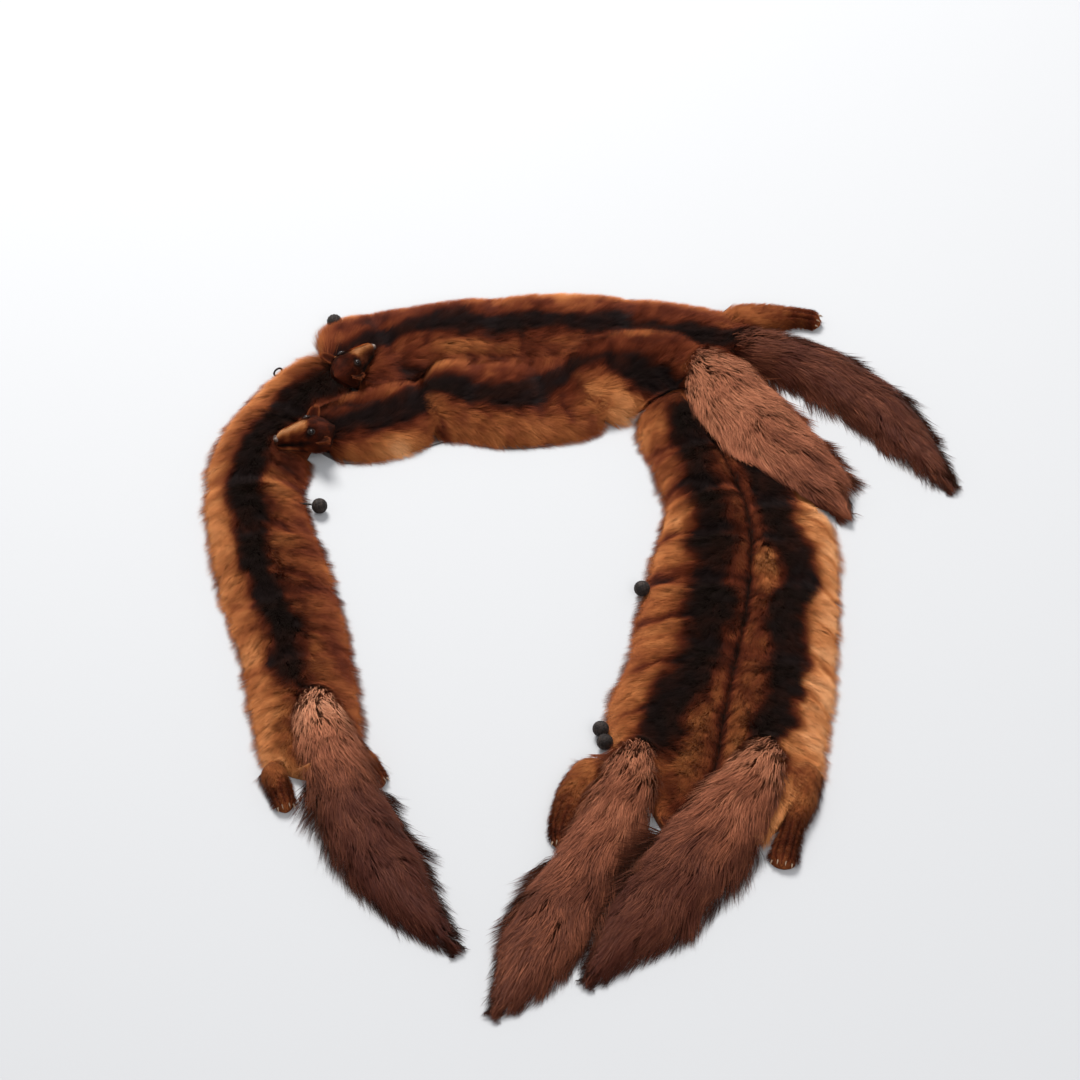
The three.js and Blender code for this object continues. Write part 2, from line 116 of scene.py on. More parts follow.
# The right arm's middle line is the seam between its two skins.
RIGHT_ARM = [
    (95, 137, 32, 36, PILE - 4),
    (106, 105, 40, 44, PILE - 2),
    (118, 70, 47, 46, PILE),
    (129, 35, 50, 50, PILE),
    (134, 0, 53, 58, PILE),
    (132, -40, 56, 63, PILE),
    (127, -80, 58, 66, PILE),
    (119, -120, 63, 66, PILE),
    (112, -160, 63, 71, PILE),
    (106, -198, 62, 61, PILE),
    (94, -224, 52, 44, PILE - 2),
    (76, -246, 34, 28, PILE - 5),
]
PAW_LEFT_OUTER = [(-163, -194, 10, 10, 13), (-157, -212, 8, 8, 12), (-152, -228, 7, 7, 10)]
PAW_LEFT_INNER = [(-112, -184, 11, 11, 13), (-103, -197, 8, 8, 12), (-95, -208, 7, 7, 10)]
PAW_BAND_REAR = [
    (126, 197, 14, 14, 16),
    (149, 201, 11, 13, 15),
    (170, 203, 7, 8, 12),
    (187, 199, 8, 8, 11),
]
PAW_RIGHT_INNER = [
    (40, -194, 14, 16, 14),
    (26, -214, 12, 15, 13),
    (16, -238, 9, 11, 12),
    (12, -257, 7, 7, 10),
]
PAW_RIGHT_OUTER = [
    (157, -194, 14, 14, 15),
    (157, -220, 11, 10, 13),
    (150, -244, 8, 8, 12),
    (143, -272, 10, 10, 10),
]
TAIL_LEFT = [
    (-138, -136, 15, 16, PILE + 5),
    (-132, -166, 19, 22, PILE + 8),
    (-122, -200, 22, 22, PILE + 6),
    (-109, -240, 23, 22, PILE + 2),
    (-91, -276, 22, 21, PILE),
    (-71, -307, 15, 14, 12),
    (-49, -335, 3, 3, 6),
]
TAIL_BAND_REAR = [
    (124, 176, 16, 16, PILE + 5),
    (146, 167, 20, 20, PILE + 6),
    (172, 158, 21, 21, PILE + 3),
    (198, 138, 21, 20, PILE + 1),
    (222, 112, 21, 18, PILE),
    (243, 80, 14, 13, 12),
    (266, 43, 3, 3, 6),
]
TAIL_BAND_FRONT = [
    (101, 160, 16, 17, PILE + 9),
    (114, 139, 25, 25, PILE + 12),
    (129, 112, 29, 29, PILE + 12),
    (146, 83, 30, 29, PILE + 12),
    (164, 57, 28, 24, PILE + 9),
    (179, 38, 24, 18, PILE + 4),
    (191, 22, 13, 10, 15),
]
TAIL_RIGHT_INNER = [
    (60, -178, 15, 14, PILE + 6),
    (54, -205, 22, 20, PILE + 8),
    (43, -238, 23, 22, PILE + 6),
    (29, -271, 24, 22, PILE + 2),
    (13, -303, 26, 24, PILE),
    (-1, -334, 23, 22, 14),
    (-14, -362, 14, 14, 10),
    (-27, -382, 3, 3, 6),
]
TAIL_RIGHT_OUTER = [
    (140, -178, 16, 16, PILE + 6),
    (130, -206, 22, 22, PILE + 8),
    (111, -240, 27, 27, PILE + 6),
    (89, -272, 27, 28, PILE + 2),
    (68, -301, 26, 26, PILE),
    (48, -328, 18, 17, 13),
    (27, -359, 3, 3, 6),
]
HEAD_LEFT = [
    (-133, 131, 8, 8, 22),
    (-127, 140, 11.5, 11.5, 27),
    (-118.5, 150, 7.5, 7.5, 25.5),
    (-110, 160, 4, 4, 21),
]
HEAD_BAND = [
    (-134, 84, 8, 8, 22),
    (-146, 81, 12, 12, 27),
    (-158, 77.5, 7.5, 7.5, 25.5),
    (-170.5, 74, 4, 4, 21),
]

# Creases: millimetres from the head end, depth, width.
LEFT_CREASES = [(62, 2.5, 9), (128, 3.5, 8), (176, 2, 9), (232, 2, 10), (286, 2, 10)]
REAR_CREASES = [(44, 2, 9), (118, 2, 12), (206, 2.5, 10)]
BODY_CREASES = [(40, 2, 9), (84, 2.5, 9)]
OUTER_CREASES = [(72, 2, 9), (124, 3, 8), (190, 2.5, 10), (252, 2, 10)]
INNER_CREASES = [(58, 3.5, 8), (102, 3.5, 8), (146, 3, 9), (192, 3, 9), (250, 2, 10)]

# How each kind of strip is formed, as in the solids: start and end are the lengths that its
# ends round off over, wall the share of the crown that stands at its left and right edges,
# locks the notching of a tail's sides, foot the height of its underside. past is how far the
# hair reaches beyond the end, and brush how much longer it is there.
CREASE_PINCH = 0.4
SEAM_HALF = 0.15
DOME_ROUND = 2.4
DOME_FULL = 0.6
END_CROWN = 0.45
CHIN_HEIGHT = 9
SKIN = dict(
    start=20, end=24, wall=(0.2, 0.2), foot=0, creases=(), side="both", locks=None, past=4, brush=1,
)
TAIL = {**SKIN, "start": 14, "end": 5, "locks": (0.06, 39), "past": 4}
PAW = {**SKIN, "start": 6, "end": 6, "wall": (0.3, 0.3), "past": 1.5}
HEAD = {**PAW, "start": 5, "end": 4, "foot": CHIN_HEIGHT}


def blend(rows, place):
    """Rows of a table at places counted in rows, on a Catmull-Rom curve through the rows."""
    last = len(rows) - 1
    i = np.clip(np.floor(place).astype(int), 0, last - 1)
    f = (place - i)[:, None]
    a, b, c, d = (rows[np.clip(i + k, 0, last)] for k in (-1, 0, 1, 2))
    cubic = -a + 3 * b - 3 * c + d
    square = 2 * a - 5 * b + 4 * c - d
    return 0.5 * (2 * b + (c - a) * f + square * f**2 + cubic * f**3)


def opening(distance, length):
    """How far an end's rounding has opened at a distance from that end: a quarter circle."""
    left = 1 - np.clip(distance / length, 0, 1)
    return np.sqrt(np.maximum(0, 1 - left**2))


def unit(vectors):
    """Vectors scaled to length one."""
    return vectors / np.maximum(np.linalg.norm(vectors, axis=-1, keepdims=True), 1e-9)


def ease(values):
    """0 below 0, 1 above 1, and a smooth step between them."""
    v = np.clip(values, 0, 1)
    return v * v * (3 - 2 * v)


def bell(gap, width):
    """1 at no gap, falling off smoothly to each side: a bell curve of this half width."""
    return np.exp(-((gap / width) ** 2))


def round_turns(count):
    """Angles evenly spaced over one full turn."""
    return np.linspace(0, 2 * math.pi, count, endpoint=False)


class Strip:
    """A strip of fur along a middle line, with the solids' own outer surface."""

    def __init__(self, name, kind, rows, **form):
        self.name = name
        self.kind = kind
        self.rows = np.array(rows, float)
        self.form = {**kind, **form}
        last = len(rows) - 1
        self.place = np.linspace(0, last, last * 24 + 1)
        line = blend(self.rows, self.place)[:, :2]
        steps = np.linalg.norm(np.diff(line, axis=0), axis=1)
        self.along = np.concatenate([[0], np.cumsum(steps)])
        self.length = self.along[-1]

    def row(self, distance):
        """The table's columns at distances from the head end."""
        distance = np.clip(distance, 0, self.length)
        return blend(self.rows, np.interp(distance, self.along, self.place))

    def way(self, distance):
        """Unit direction of travel at distances from the head end."""
        return unit(self.row(distance + 0.5)[:, :2] - self.row(distance - 0.5)[:, :2])

    def pressed(self, distance):
        """Depth of the creases: a bell-shaped trough at each."""
        depth = np.zeros_like(distance)
        for at, deep, wide in self.form["creases"]:
            depth += deep * bell(distance - at, wide)
        return depth

    def section(self, distance, inset=0.0):
        """Half widths and rise of the strip at distances. The ends round the widths off,
        creases press and narrow it, locks notch its sides, and inset narrows it evenly."""
        row = self.row(distance)
        form = self.form
        opened = opening(distance, form["start"]) * opening(self.length - distance, form["end"])
        pressed = self.pressed(distance)
        notch = np.ones_like(distance)
        if form["locks"]:
            deep, pitch = form["locks"]
            notch += deep * np.cos(2 * math.pi * distance / pitch)
        left = row[:, LEFT] * opened * notch - pressed * CREASE_PINCH - inset
        right = row[:, RIGHT] * opened * (2 - notch) - pressed * CREASE_PINCH - inset
        rise = (row[:, CROWN] - form["foot"] - pressed) * (END_CROWN + (1 - END_CROWN) * opened)
        return np.maximum(left, 0.5), np.maximum(right, 0.5), rise

    def reach(self, t, left, right):
        """Distance to the left of the middle line at t, from -1 at the right edge to 1 at the
        left edge. A strip with a side has only that side of its line."""
        side = self.form["side"]
        if side == "left":
            return SEAM_HALF + (t + 1) / 2 * (left - SEAM_HALF)
        if side == "right":
            return -SEAM_HALF - (1 - t) / 2 * (right - SEAM_HALF)
        return t * np.where(t < 0, right, left)

    def dome(self, t):
        """Share of the rise at t: a low wall at the edge and a full round crown over it."""
        low = np.where(t < 0, self.form["wall"][1], self.form["wall"][0])
        return low + (1 - low) * np.maximum(0, 1 - np.abs(t) ** DOME_ROUND) ** DOME_FULL

    def surface(self, distance, columns, inset=0.0, lift=1.0):
        """Grid of points over the strip: at each distance, columns points evenly spaced along
        the section's outline, from the foot of the right wall over the top to the left foot."""
        foot = self.form["foot"]
        centre = self.row(distance)[:, :2]
        way = self.way(distance)
        normal = np.stack([-way[:, 1], way[:, 0]], 1)
        left, right, rise = self.section(distance, inset)
        t = -np.cos(np.linspace(0, math.pi, 61))[None, :]
        reach = self.reach(t, left[:, None], right[:, None])
        height = foot + rise[:, None] * lift * self.dome(t)
        reach = np.concatenate([reach[:, :1], reach, reach[:, -1:]], 1)
        floor = np.full((len(distance), 1), float(foot))
        height = np.concatenate([floor, height, floor], 1)
        steps = np.hypot(np.diff(reach, axis=1), np.diff(height, axis=1))
        arc = np.concatenate([np.zeros((len(distance), 1)), np.cumsum(steps, 1)], 1)
        share = np.linspace(0, 1, columns)
        points = np.empty((len(distance), columns, 3))
        for i in range(len(distance)):
            out = np.interp(share * arc[i, -1], arc[i], reach[i])
            points[i, :, :2] = centre[i] + normal[i] * out[:, None]
            points[i, :, 2] = np.interp(share * arc[i, -1], arc[i], height[i])
        return points

    def over(self, x, y, inset=0.0, lift=1.0):
        """Height of the strip's top at points, and 0 beside it. The nearest section gives the
        place along, and the distance from the middle line the place across."""
        step = np.arange(0, self.length + 1, 3.0)
        centre = self.row(step)[:, :2]
        way = self.way(step)
        spots = np.stack([x, y], 1)
        near = np.empty(len(spots), int)
        for part in np.array_split(np.arange(len(spots)), len(spots) // 20000 + 1):
            gap = spots[part, None, :] - centre[None, :, :]
            near[part] = np.argmin((gap**2).sum(2), 1)
        gap = spots - centre[near]
        along = step[near] + (gap * way[near]).sum(1)
        out = -gap[:, 0] * way[near, 1] + gap[:, 1] * way[near, 0]
        left, right, rise = self.section(along, inset)
        side = self.form["side"]
        if side == "left":
            t = 2 * (out - SEAM_HALF) / (left - SEAM_HALF) - 1
        elif side == "right":
            t = 1 - 2 * (-out - SEAM_HALF) / (right - SEAM_HALF)
        else:
            t = out / np.where(out < 0, right, left)
        inside = (np.abs(t) <= 1) & (along >= 0) & (along <= self.length)
        height = self.form["foot"] + rise * lift * self.dome(np.clip(t, -1, 1))
        return np.where(inside, height, 0.0)


# Walls of skins that are sewn or laid against a neighbour on one side.
HIGH_RIGHT = (0.15, 0.62)
HIGH_LEFT = (0.62, 0.15)

# Every strip in the order in which the stole is laid up, from the lowest to the highest.
STRIPS = [
    Strip(
        "skin_band_rear", SKIN, REAR_SKIN, foot=LINING_TOP, creases=REAR_CREASES, wall=HIGH_RIGHT,
    ),
    Strip("skin_left", SKIN, LEFT_SKIN, creases=LEFT_CREASES),
    Strip(
        "skin_right_outer", SKIN, RIGHT_ARM, creases=OUTER_CREASES, wall=HIGH_RIGHT, side="left",
    ),
    Strip(
        "skin_right_inner", SKIN, RIGHT_ARM, creases=INNER_CREASES, wall=HIGH_LEFT, side="right",
    ),
    Strip("skin_band_neck", SKIN, NECK_SKIN, start=8, wall=(0.5, 0.15)),
    Strip("skin_band_body", SKIN, BODY_SKIN, creases=BODY_CREASES, wall=(0.5, 0.15)),
    Strip("skin_band_hip", SKIN, HIP_SKIN, start=14, wall=(0.4, 0.2)),
    Strip("paw_left_outer", PAW, PAW_LEFT_OUTER),
    Strip("paw_left_inner", PAW, PAW_LEFT_INNER),
    Strip("paw_band_rear", PAW, PAW_BAND_REAR),
    Strip("paw_right_inner", PAW, PAW_RIGHT_INNER),
    Strip("paw_right_outer", PAW, PAW_RIGHT_OUTER),
    Strip("tail_left", TAIL, TAIL_LEFT),
    Strip("tail_band_rear", TAIL, TAIL_BAND_REAR),
    Strip("tail_band_front", TAIL, TAIL_BAND_FRONT, end=8, past=13, brush=1.5),
    Strip("tail_right_inner", TAIL, TAIL_RIGHT_INNER),
    Strip("tail_right_outer", TAIL, TAIL_RIGHT_OUTER),
    Strip("head_left", HEAD, HEAD_LEFT),
    Strip("head_band", HEAD, HEAD_BAND),
]

# The ground plan on which heights are kept: lowest corner, spacing and counts of its grid.
PLAN_LOW = np.array([-228.0, -396.0])
PLAN_STEP = 1.5
PLAN_SIZE = (336, 424)


class Heights:
    """Height maps of all strips over the ground plan: of the solids, and of the bare shells."""

    def __init__(self, strips):
        x = PLAN_LOW[0] + PLAN_STEP * np.arange(PLAN_SIZE[0])
        y = PLAN_LOW[1] + PLAN_STEP * np.arange(PLAN_SIZE[1])
        grid_x, grid_y = np.meshgrid(x, y, indexing="ij")
        self.solid = {}
        self.shell = {}
        for strip in strips:
            inset, lift = SHELL[id(strip.kind)]
            low = strip.rows[:, :2].min(0) - 75
            high = strip.rows[:, :2].max(0) + 75
            near = (grid_x > low[0]) & (grid_x < high[0]) & (grid_y > low[1]) & (grid_y < high[1])
            self.solid[strip.name] = np.zeros(PLAN_SIZE)
            self.shell[strip.name] = np.zeros(PLAN_SIZE)
            self.solid[strip.name][near] = strip.over(grid_x[near], grid_y[near])
            self.shell[strip.name][near] = strip.over(grid_x[near], grid_y[near], inset, lift)

    def others(self, name):
        """The highest of all other solids over the plan."""
        return np.max([grid for key, grid in self.solid.items() if key != name], 0)

    def below(self, name):
        """The highest shell that was laid before this one over the plan."""
        names = list(self.shell)
        before = names[: names.index(name)]
        return np.max([self.shell[key] for key in before], 0) if before else np.zeros(PLAN_SIZE)


def look_up(grid, x, y):
    """Heights of a map at points, blended from the four grid points around each."""
    a = np.clip((x - PLAN_LOW[0]) / PLAN_STEP, 0, PLAN_SIZE[0] - 1.001)
    b = np.clip((y - PLAN_LOW[1]) / PLAN_STEP, 0, PLAN_SIZE[1] - 1.001)
    i, j = a.astype(int), b.astype(int)
    f, g = a - i, b - j
    low = grid[i, j] * (1 - g) + grid[i, j + 1] * g
    high = grid[i + 1, j] * (1 - g) + grid[i + 1, j + 1] * g
    return low * (1 - f) + high * f


# How far a bare shell lies inside its solid's edge, and its share of the solid's height.
SHELL = {id(SKIN): (4.6, 0.64), id(TAIL): (8.0, 0.58), id(PAW): (1.8, 0.84), id(HEAD): (1.0, 0.9)}


def heading(rows):
    """The way that a head points, as an angle on the plan."""
    return math.atan2(rows[-1][Y] - rows[0][Y], rows[-1][X] - rows[0][X])


def on_head(rows, share, out, up):
    """A place on a head: share of the way from nape to snout, out to its left side, up."""
    line = blend(np.array(rows, float), np.array([share * (len(rows) - 1)]))[0]
    turn = heading(rows)
    return np.array([line[X] - math.sin(turn) * out, line[Y] + math.cos(turn) * out, up])


# The first eye's middle gives how the maker's layout lies in the frame.
EYE_PLACE = dict(share=0.42, out=6.8, up=24)
EAR_PLACE = dict(share=0.3, out=10.5, up=19.5)
NOSE_PLACE = dict(share=1, out=0, up=17.5)
low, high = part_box("eye_left_1")
SHIFT = (np.array(low) + np.array(high)) / 2 / MM - on_head(HEAD_LEFT, **EYE_PLACE)
SHIFT[2] = 0


def on_side(place, side):
    """The same place on a head's left side, 1, or its right side, -1."""
    return {**place, "out": side * place["out"]}


def new_object(name, data):
    """A new object in the scene."""
    made = bpy.data.objects.new(name, data)
    bpy.context.scene.collection.objects.link(made)
    return made


def piece_of(mesh, materials, spots):
    """A mesh as a piece that rides on the stole's one body, smooth all over. spots are named
    values, one for each point."""
    mesh.shade_smooth()
    for material in materials:
        mesh.materials.append(material)
    for key, values in spots.items():
        mesh.attributes.new(key, "FLOAT", "POINT").data.foreach_set("value", values.astype(np.float32))
    piece = new_object(mesh.name, mesh)
    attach(piece, "root")
    return piece


def add_piece(name, points, faces, materials, spots=None):
    """A piece from millimetre points and faces."""
    mesh = bpy.data.meshes.new(name)
    mesh.from_pydata(((points.reshape(-1, 3) + SHIFT) * MM).tolist(), [], faces)
    return piece_of(mesh, materials, spots or {})


def grid_faces(rows, columns, around=True):
    """Quads over a grid of points, closed round its columns where around is true. They face
    out where the columns run anticlockwise as seen looking back down the rows."""
    i = np.arange(rows - 1)[:, None]
    j = np.arange(columns if around else columns - 1)[None, :]
    a = i * columns + j
    b = i * columns + (j + 1) % columns
    return np.stack([a, a + columns, b + columns, b], -1).reshape(-1, 4).tolist()


def closed_faces(rows, columns):
    """Quads round a tube of rings and a flat cap on each end."""
    last = (rows - 1) * columns
    caps = [list(range(columns)), list(range(last + columns - 1, last - 1, -1))]
    return grid_faces(rows, columns) + caps


def mottle(x, y, size, seed):
    """Smooth noise from -1 to 1 over points: random numbers on a lattice, eased between."""
    field = np.random.default_rng(seed).uniform(-1, 1, (64, 64))
    a, b = x / size, y / size
    i, j = np.floor(a).astype(int), np.floor(b).astype(int)
    f, g = ease(a - i), ease(b - j)

    def pick(right, up):
        """The field's numbers at each corner of the lattice, which repeats."""
        return field[(i + right) % 64, (j + up) % 64]

    low = pick(0, 0) * (1 - g) + pick(0, 1) * g
    high = pick(1, 0) * (1 - g) + pick(1, 1) * g
    return low * (1 - f) + high * f


def noise(x, y, layers):
    """Layers of soft noise added up, each of an amount, a blot's size and a seed."""
    return sum(amount * mottle(x, y, size, seed) for amount, size, seed in layers)


# A cleft, such as a fold or a parting, and the seam along the right arm: how much painted shade
# darkens them, as tone taken off, and how deep they sink, in millimetres, at their full strength.
# SEAM_SPREAD is the seam's half width, SWELL the height of a puff for each unit of tone that its
# patch adds, CREASE_SHADE the painted shade, as tone taken off, that a crease takes for each
# millimetre of its depth.
CLEFT_SHADE = 0.3
CLEFT_SINK = 3
CLEFT_WAVE = 2
SEAM_SPREAD = 2.4
SWELL = 8
CREASE_SHADE = 0.05
STRIPE_TONE = 0.04

# Soft noise on a pelt, in layers of an amount, a blot's size and a seed: how far it shifts the
# stripe's edges, in millimetres, and how much tone it adds. STREAK is the tone of faint streaks
# along the pelt.
EDGE_WOBBLE = [(5, 17, 5), (2.4, 6, 6)]
PELT_FLECKS = [(0.09, 18, 7), (0.075, 6, 8)]
STREAK = 0.035

# Markings of each pelt. tone runs from 0, black-brown, over 0.4, red-brown, to 1, pale tan.
# ground is the tone from the right edge, -1, to the left edge, 1, and a seam is at 0. stripe is
# the dark back stripe's middle line with its half width, fade the distance in which it eases
# out. A patch is a soft oval: its middle, its two radii, its turn in degrees, and the tone it
# adds. A cleft runs from one point to another, and has a half width and a strength.
PELTS = {
    "skin_left": dict(
        fade=12,
        ground=[(-1, 0.82), (-0.7, 0.76), (-0.4, 0.55), (0, 0.42), (0.5, 0.45), (0.8, 0.47), (1, 0.55)],
        stripe=[
            (-128, 136, 7), (-142, 125, 8), (-156, 116, 8), (-169, 102, 8), (-180, 86, 8),
            (-186, 66, 9), (-190, 43, 8), (-189, 25, 7), (-183, 8, 7), (-179, -23, 8),
            (-174, -48, 9), (-163, -81, 10), (-157, -105, 10), (-155, -127, 7),
        ],
        patches=[
            (-171, 40, 10, 12, 10, 0.24),
            (-160, 22, 9, 11, 0, 0.26),
            (-156, -14, 11, 10, 0, 0.14),
            (-134, -109, 9, 30, 8, 0.16),
            (-150, 152, 26, 9, 40, 0.16),
            (-160, 62, 10, 14, 0, -0.08),
            (-142, -160, 20, 12, 0, 0.1),
        ],
        clefts=[
            (-147, -139, -125, -152, 3, 1), (-178, 8, -155, -4, 2.6, 0.9), (-205, 3, -190, -6, 2, 0.4),
            (-171, 55, -150, 48, 2.4, 0.6), (-165, -38, -142, -46, 2.4, 0.7),
            (-196, -62, -182, -70, 2, 0.5), (-150, -88, -132, -94, 2.2, 0.5),
            (-166, 96, -150, 84, 2.6, 0.5), (-190, -118, -172, -126, 2, 0.4),
        ],
    ),
    "skin_band_rear": dict(
        fade=10,
        ground=[(-1, 0.38), (-0.4, 0.4), (0.1, 0.4), (0.5, 0.44), (0.75, 0.62), (1, 0.74)],
        stripe=[
            (-139, 158, 5), (-115, 170, 7), (-93, 178, 8), (-73, 184, 9), (-43, 188, 10),
            (-14, 188, 10), (9, 188, 9), (34, 186, 9), (60, 184, 9), (79, 180, 9),
            (97, 176, 9), (132, 172, 8),
        ],
        patches=[
            (-104, 200, 34, 10, 20, -0.26),
            (-36, 161, 26, 8, 0, 0.22),
            (-57, 163, 9, 7, 0, 0.14),
            (25, 165, 22, 7, 0, 0.08),
            (-95, 150, 20, 12, 0, 0.06),
            (40, 218, 60, 6, 0, 0.08),
        ],
        clefts=[
            (-85, 143, -45, 152, 3, 0.9), (-45, 152, -10, 149, 3, 0.8), (-73, 165, -66, 198, 2.4, 0.5),
            (-10, 158, -8, 176, 2.2, 0.6), (40, 206, 46, 222, 2, 0.4), (12, 204, 8, 222, 2, 0.4),
            (-30, 206, -34, 220, 2, 0.4),
        ],
    ),
    "skin_band_neck": dict(
        fade=14,
        ground=[(-1, 0.6), (-0.6, 0.5), (0, 0.36), (0.6, 0.4), (1, 0.42)],
        stripe=[(-144, 80, 7), (-126, 90, 10), (-109, 97, 11), (-92, 102, 12), (-80, 112, 9)],
        patches=[
            (-128, 116, 13, 3.5, 18, 0.36),
            (-100, 124, 15, 8, 0, 0.14),
            (-88, 76, 18, 9, 10, 0.28),
            (-122, 70, 12, 5, -10, 0.1),
        ],
        clefts=[(-138, 106, -104, 112, 2.2, 0.8), (-96, 128, -72, 129, 2, 0.6), (-112, 78, -100, 90, 2, 0.4)],
    ),
    "skin_band_body": dict(
        fade=12,
        ground=[(-1, 0.6), (-0.6, 0.52), (0, 0.42), (0.6, 0.42), (1, 0.46)],
        stripe=[
            (-76, 128, 7), (-54, 128, 8), (-36, 119, 8), (-10, 118, 8), (8, 130, 8), (20, 143, 8),
        ],
        patches=[
            (-66, 147, 18, 4, 12, 0.24),
            (-68, 106, 12, 15, 8, 0.26),
            (-40, 100, 12, 12, 0, 0.1),
            (-30, 92, 14, 8, 0, 0.08),
            (5, 92, 20, 9, 0, 0.12),
            (-8, 142, 20, 7, 0, -0.06),
        ],
        clefts=[
            (-61, 98, -58, 82, 2, 1), (-82, 118, -80, 98, 2.4, 0.8), (-40, 106, -30, 96, 2.2, 0.6),
            (-12, 104, -4, 94, 2, 0.5), (16, 118, 22, 96, 2.4, 0.7), (-20, 134, 0, 140, 2, 0.5),
        ],
    ),
    "skin_band_hip": dict(
        fade=12,
        ground=[(-1, 0.62), (-0.5, 0.56), (0, 0.42), (0.6, 0.34), (0.9, 0.42), (1, 0.55)],
        stripe=[
            (26, 145, 6), (45, 149, 7), (59, 144, 8), (71, 133, 10), (84, 126, 11), (98, 122, 8),
        ],
        patches=[
            (46, 112, 24, 19, 5, 0.2),
            (38, 104, 12, 8, 0, 0.06),
            (66, 104, 13, 10, 20, 0.14),
            (87, 133, 9, 8, 0, -0.2),
            (65, 175, 30, 3.5, 0, 0.2),
            (23, 148, 4, 20, 6, 0.16),
        ],
        clefts=[
            (38, 112, 43, 105, 2.4, 0.8), (46, 112, 50, 108, 2, 0.6), (60, 118, 70, 104, 2.2, 0.5),
            (30, 122, 26, 104, 2, 0.5), (82, 136, 92, 128, 4, 1),
        ],
    ),
    "skin_right_inner": dict(
        fade=17,
        ground=[(-1, 0.64), (-0.75, 0.6), (-0.45, 0.47), (0, 0.41)],
        stripe=[
            (95, 104, 6), (97, 76, 8), (100, 51, 8), (110, 8, 9), (105, -38, 10), (105, -75, 10),
            (98, -107, 10), (82, -148, 10), (70, -182, 8),
        ],
        patches=[
            (84, 88, 9, 20, 8, 0.12),
            (84, 8, 14, 15, 0, 0.2),
            (82, -26, 13, 12, 0, 0.16),
            (80, -55, 13, 10, 0, 0.14),
            (71, -99, 14, 12, 0, 0.14),
            (60, -140, 10, 14, 0, 0.12),
            (93, -172, 11, 36, -17, 0.26),
            (66, 80, 6, 16, 0, 0.1),
            (42, -176, 8, 14, 0, 0.12),
        ],
        clefts=[
            (80, 35, 106, 40, 3, 1), (78, -3, 104, -8, 3, 1), (68, -40, 92, -54, 3, 1),
            (60, -78, 92, -80, 3, 1), (56, -120, 90, -115, 2.6, 0.8), (74, 62, 94, 66, 2.4, 0.6),
            (50, -160, 70, -156, 2.4, 0.6), (104, -60, 122, -66, 2, 0.4),
        ],
    ),
    "skin_right_outer": dict(
        fade=13,
        ground=[(0, 0.42), (0.35, 0.46), (0.6, 0.52), (0.76, 0.88), (1, 0.96)],
        stripe=[
            (136, 82, 7), (144, 42, 9), (152, 15, 10), (157, -8, 10), (167, -34, 9), (162, -55, 9),
            (152, -71, 10), (154, -98, 10), (155, -124, 10), (145, -162, 10), (134, -187, 9),
        ],
        patches=[
            (143, -37, 10, 19, 5, 0.28),
            (120, 62, 8, 12, 0, 0.1),
            (158, -81, 6, 6, 0, 0.1),
            (126, -110, 9, 24, 0, 0.1),
            (121, -166, 9, 16, 0, 0.2),
            (117, -190, 8, 10, 0, 0.16),
        ],
        clefts=[
            (116, -13, 154, -13, 2.6, 1), (172, 8, 188, -4, 2.2, 0.7), (176, -22, 192, -34, 2.2, 0.6),
            (176, -50, 192, -62, 2.2, 0.7), (174, -84, 190, -96, 2.2, 0.6),
            (172, -112, 188, -126, 2.2, 0.7), (166, -142, 180, -158, 2.2, 0.6),
            (134, -60, 148, -66, 2, 0.5), (124, 34, 140, 30, 2, 0.5),
        ],
    ),
}


def follow(points, x, y):
    """The nearest place of a line with half widths to each point: distance and half width."""
    rows = np.array(points, float)
    line = blend(rows, np.linspace(0, len(rows) - 1, (len(rows) - 1) * 8 + 1))
    near = np.empty(len(x), int)
    for part in np.array_split(np.arange(len(x)), len(x) // 20000 + 1):
        gap = (x[part, None] - line[None, :, 0]) ** 2 + (y[part, None] - line[None, :, 1]) ** 2
        near[part] = np.argmin(gap, 1)
    gap = np.hypot(x - line[near, 0], y - line[near, 1])
    return gap, line[near, 2]


def patch_at(patch, x, y):
    """What a patch adds at points: most at its middle, falling off as a soft-edged oval."""
    px, py, wide, high, turn, add = patch
    c, s = math.cos(math.radians(turn)), math.sin(math.radians(turn))
    a = ((x - px) * c + (y - py) * s) / wide
    b = (-(x - px) * s + (y - py) * c) / high
    return add * np.exp(-((a * a + b * b) ** 1.5))


def cleft_at(cleft, x, y):
    """Strength of a cleft at points: full on its line, falling off as a bell to each side."""
    x1, y1, x2, y2, half, strength = cleft
    run = np.array([x2 - x1, y2 - y1], float)
    share = np.clip(((x - x1) * run[0] + (y - y1) * run[1]) / (run**2).sum(), 0, 1)
    gap = np.hypot(x - x1 - share * run[0], y - y1 - share * run[1])
    return strength * bell(gap, half)


def clefts_at(strip, x, y):
    """Strength at points of a pelt's clefts and of the seam that a pelt with one side has."""
    wave_x = x + CLEFT_WAVE * mottle(x, y, 9, 21)
    wave_y = y + CLEFT_WAVE * mottle(x, y, 9, 22)
    strength = sum(cleft_at(cleft, wave_x, wave_y) for cleft in PELTS[strip.name]["clefts"])
    if strip.form["side"] != "both":
        gap, _ = follow(strip.rows[:, [X, Y, LEFT]], x, y)
        strength = np.maximum(strength, bell(gap, SEAM_SPREAD))
    return strength


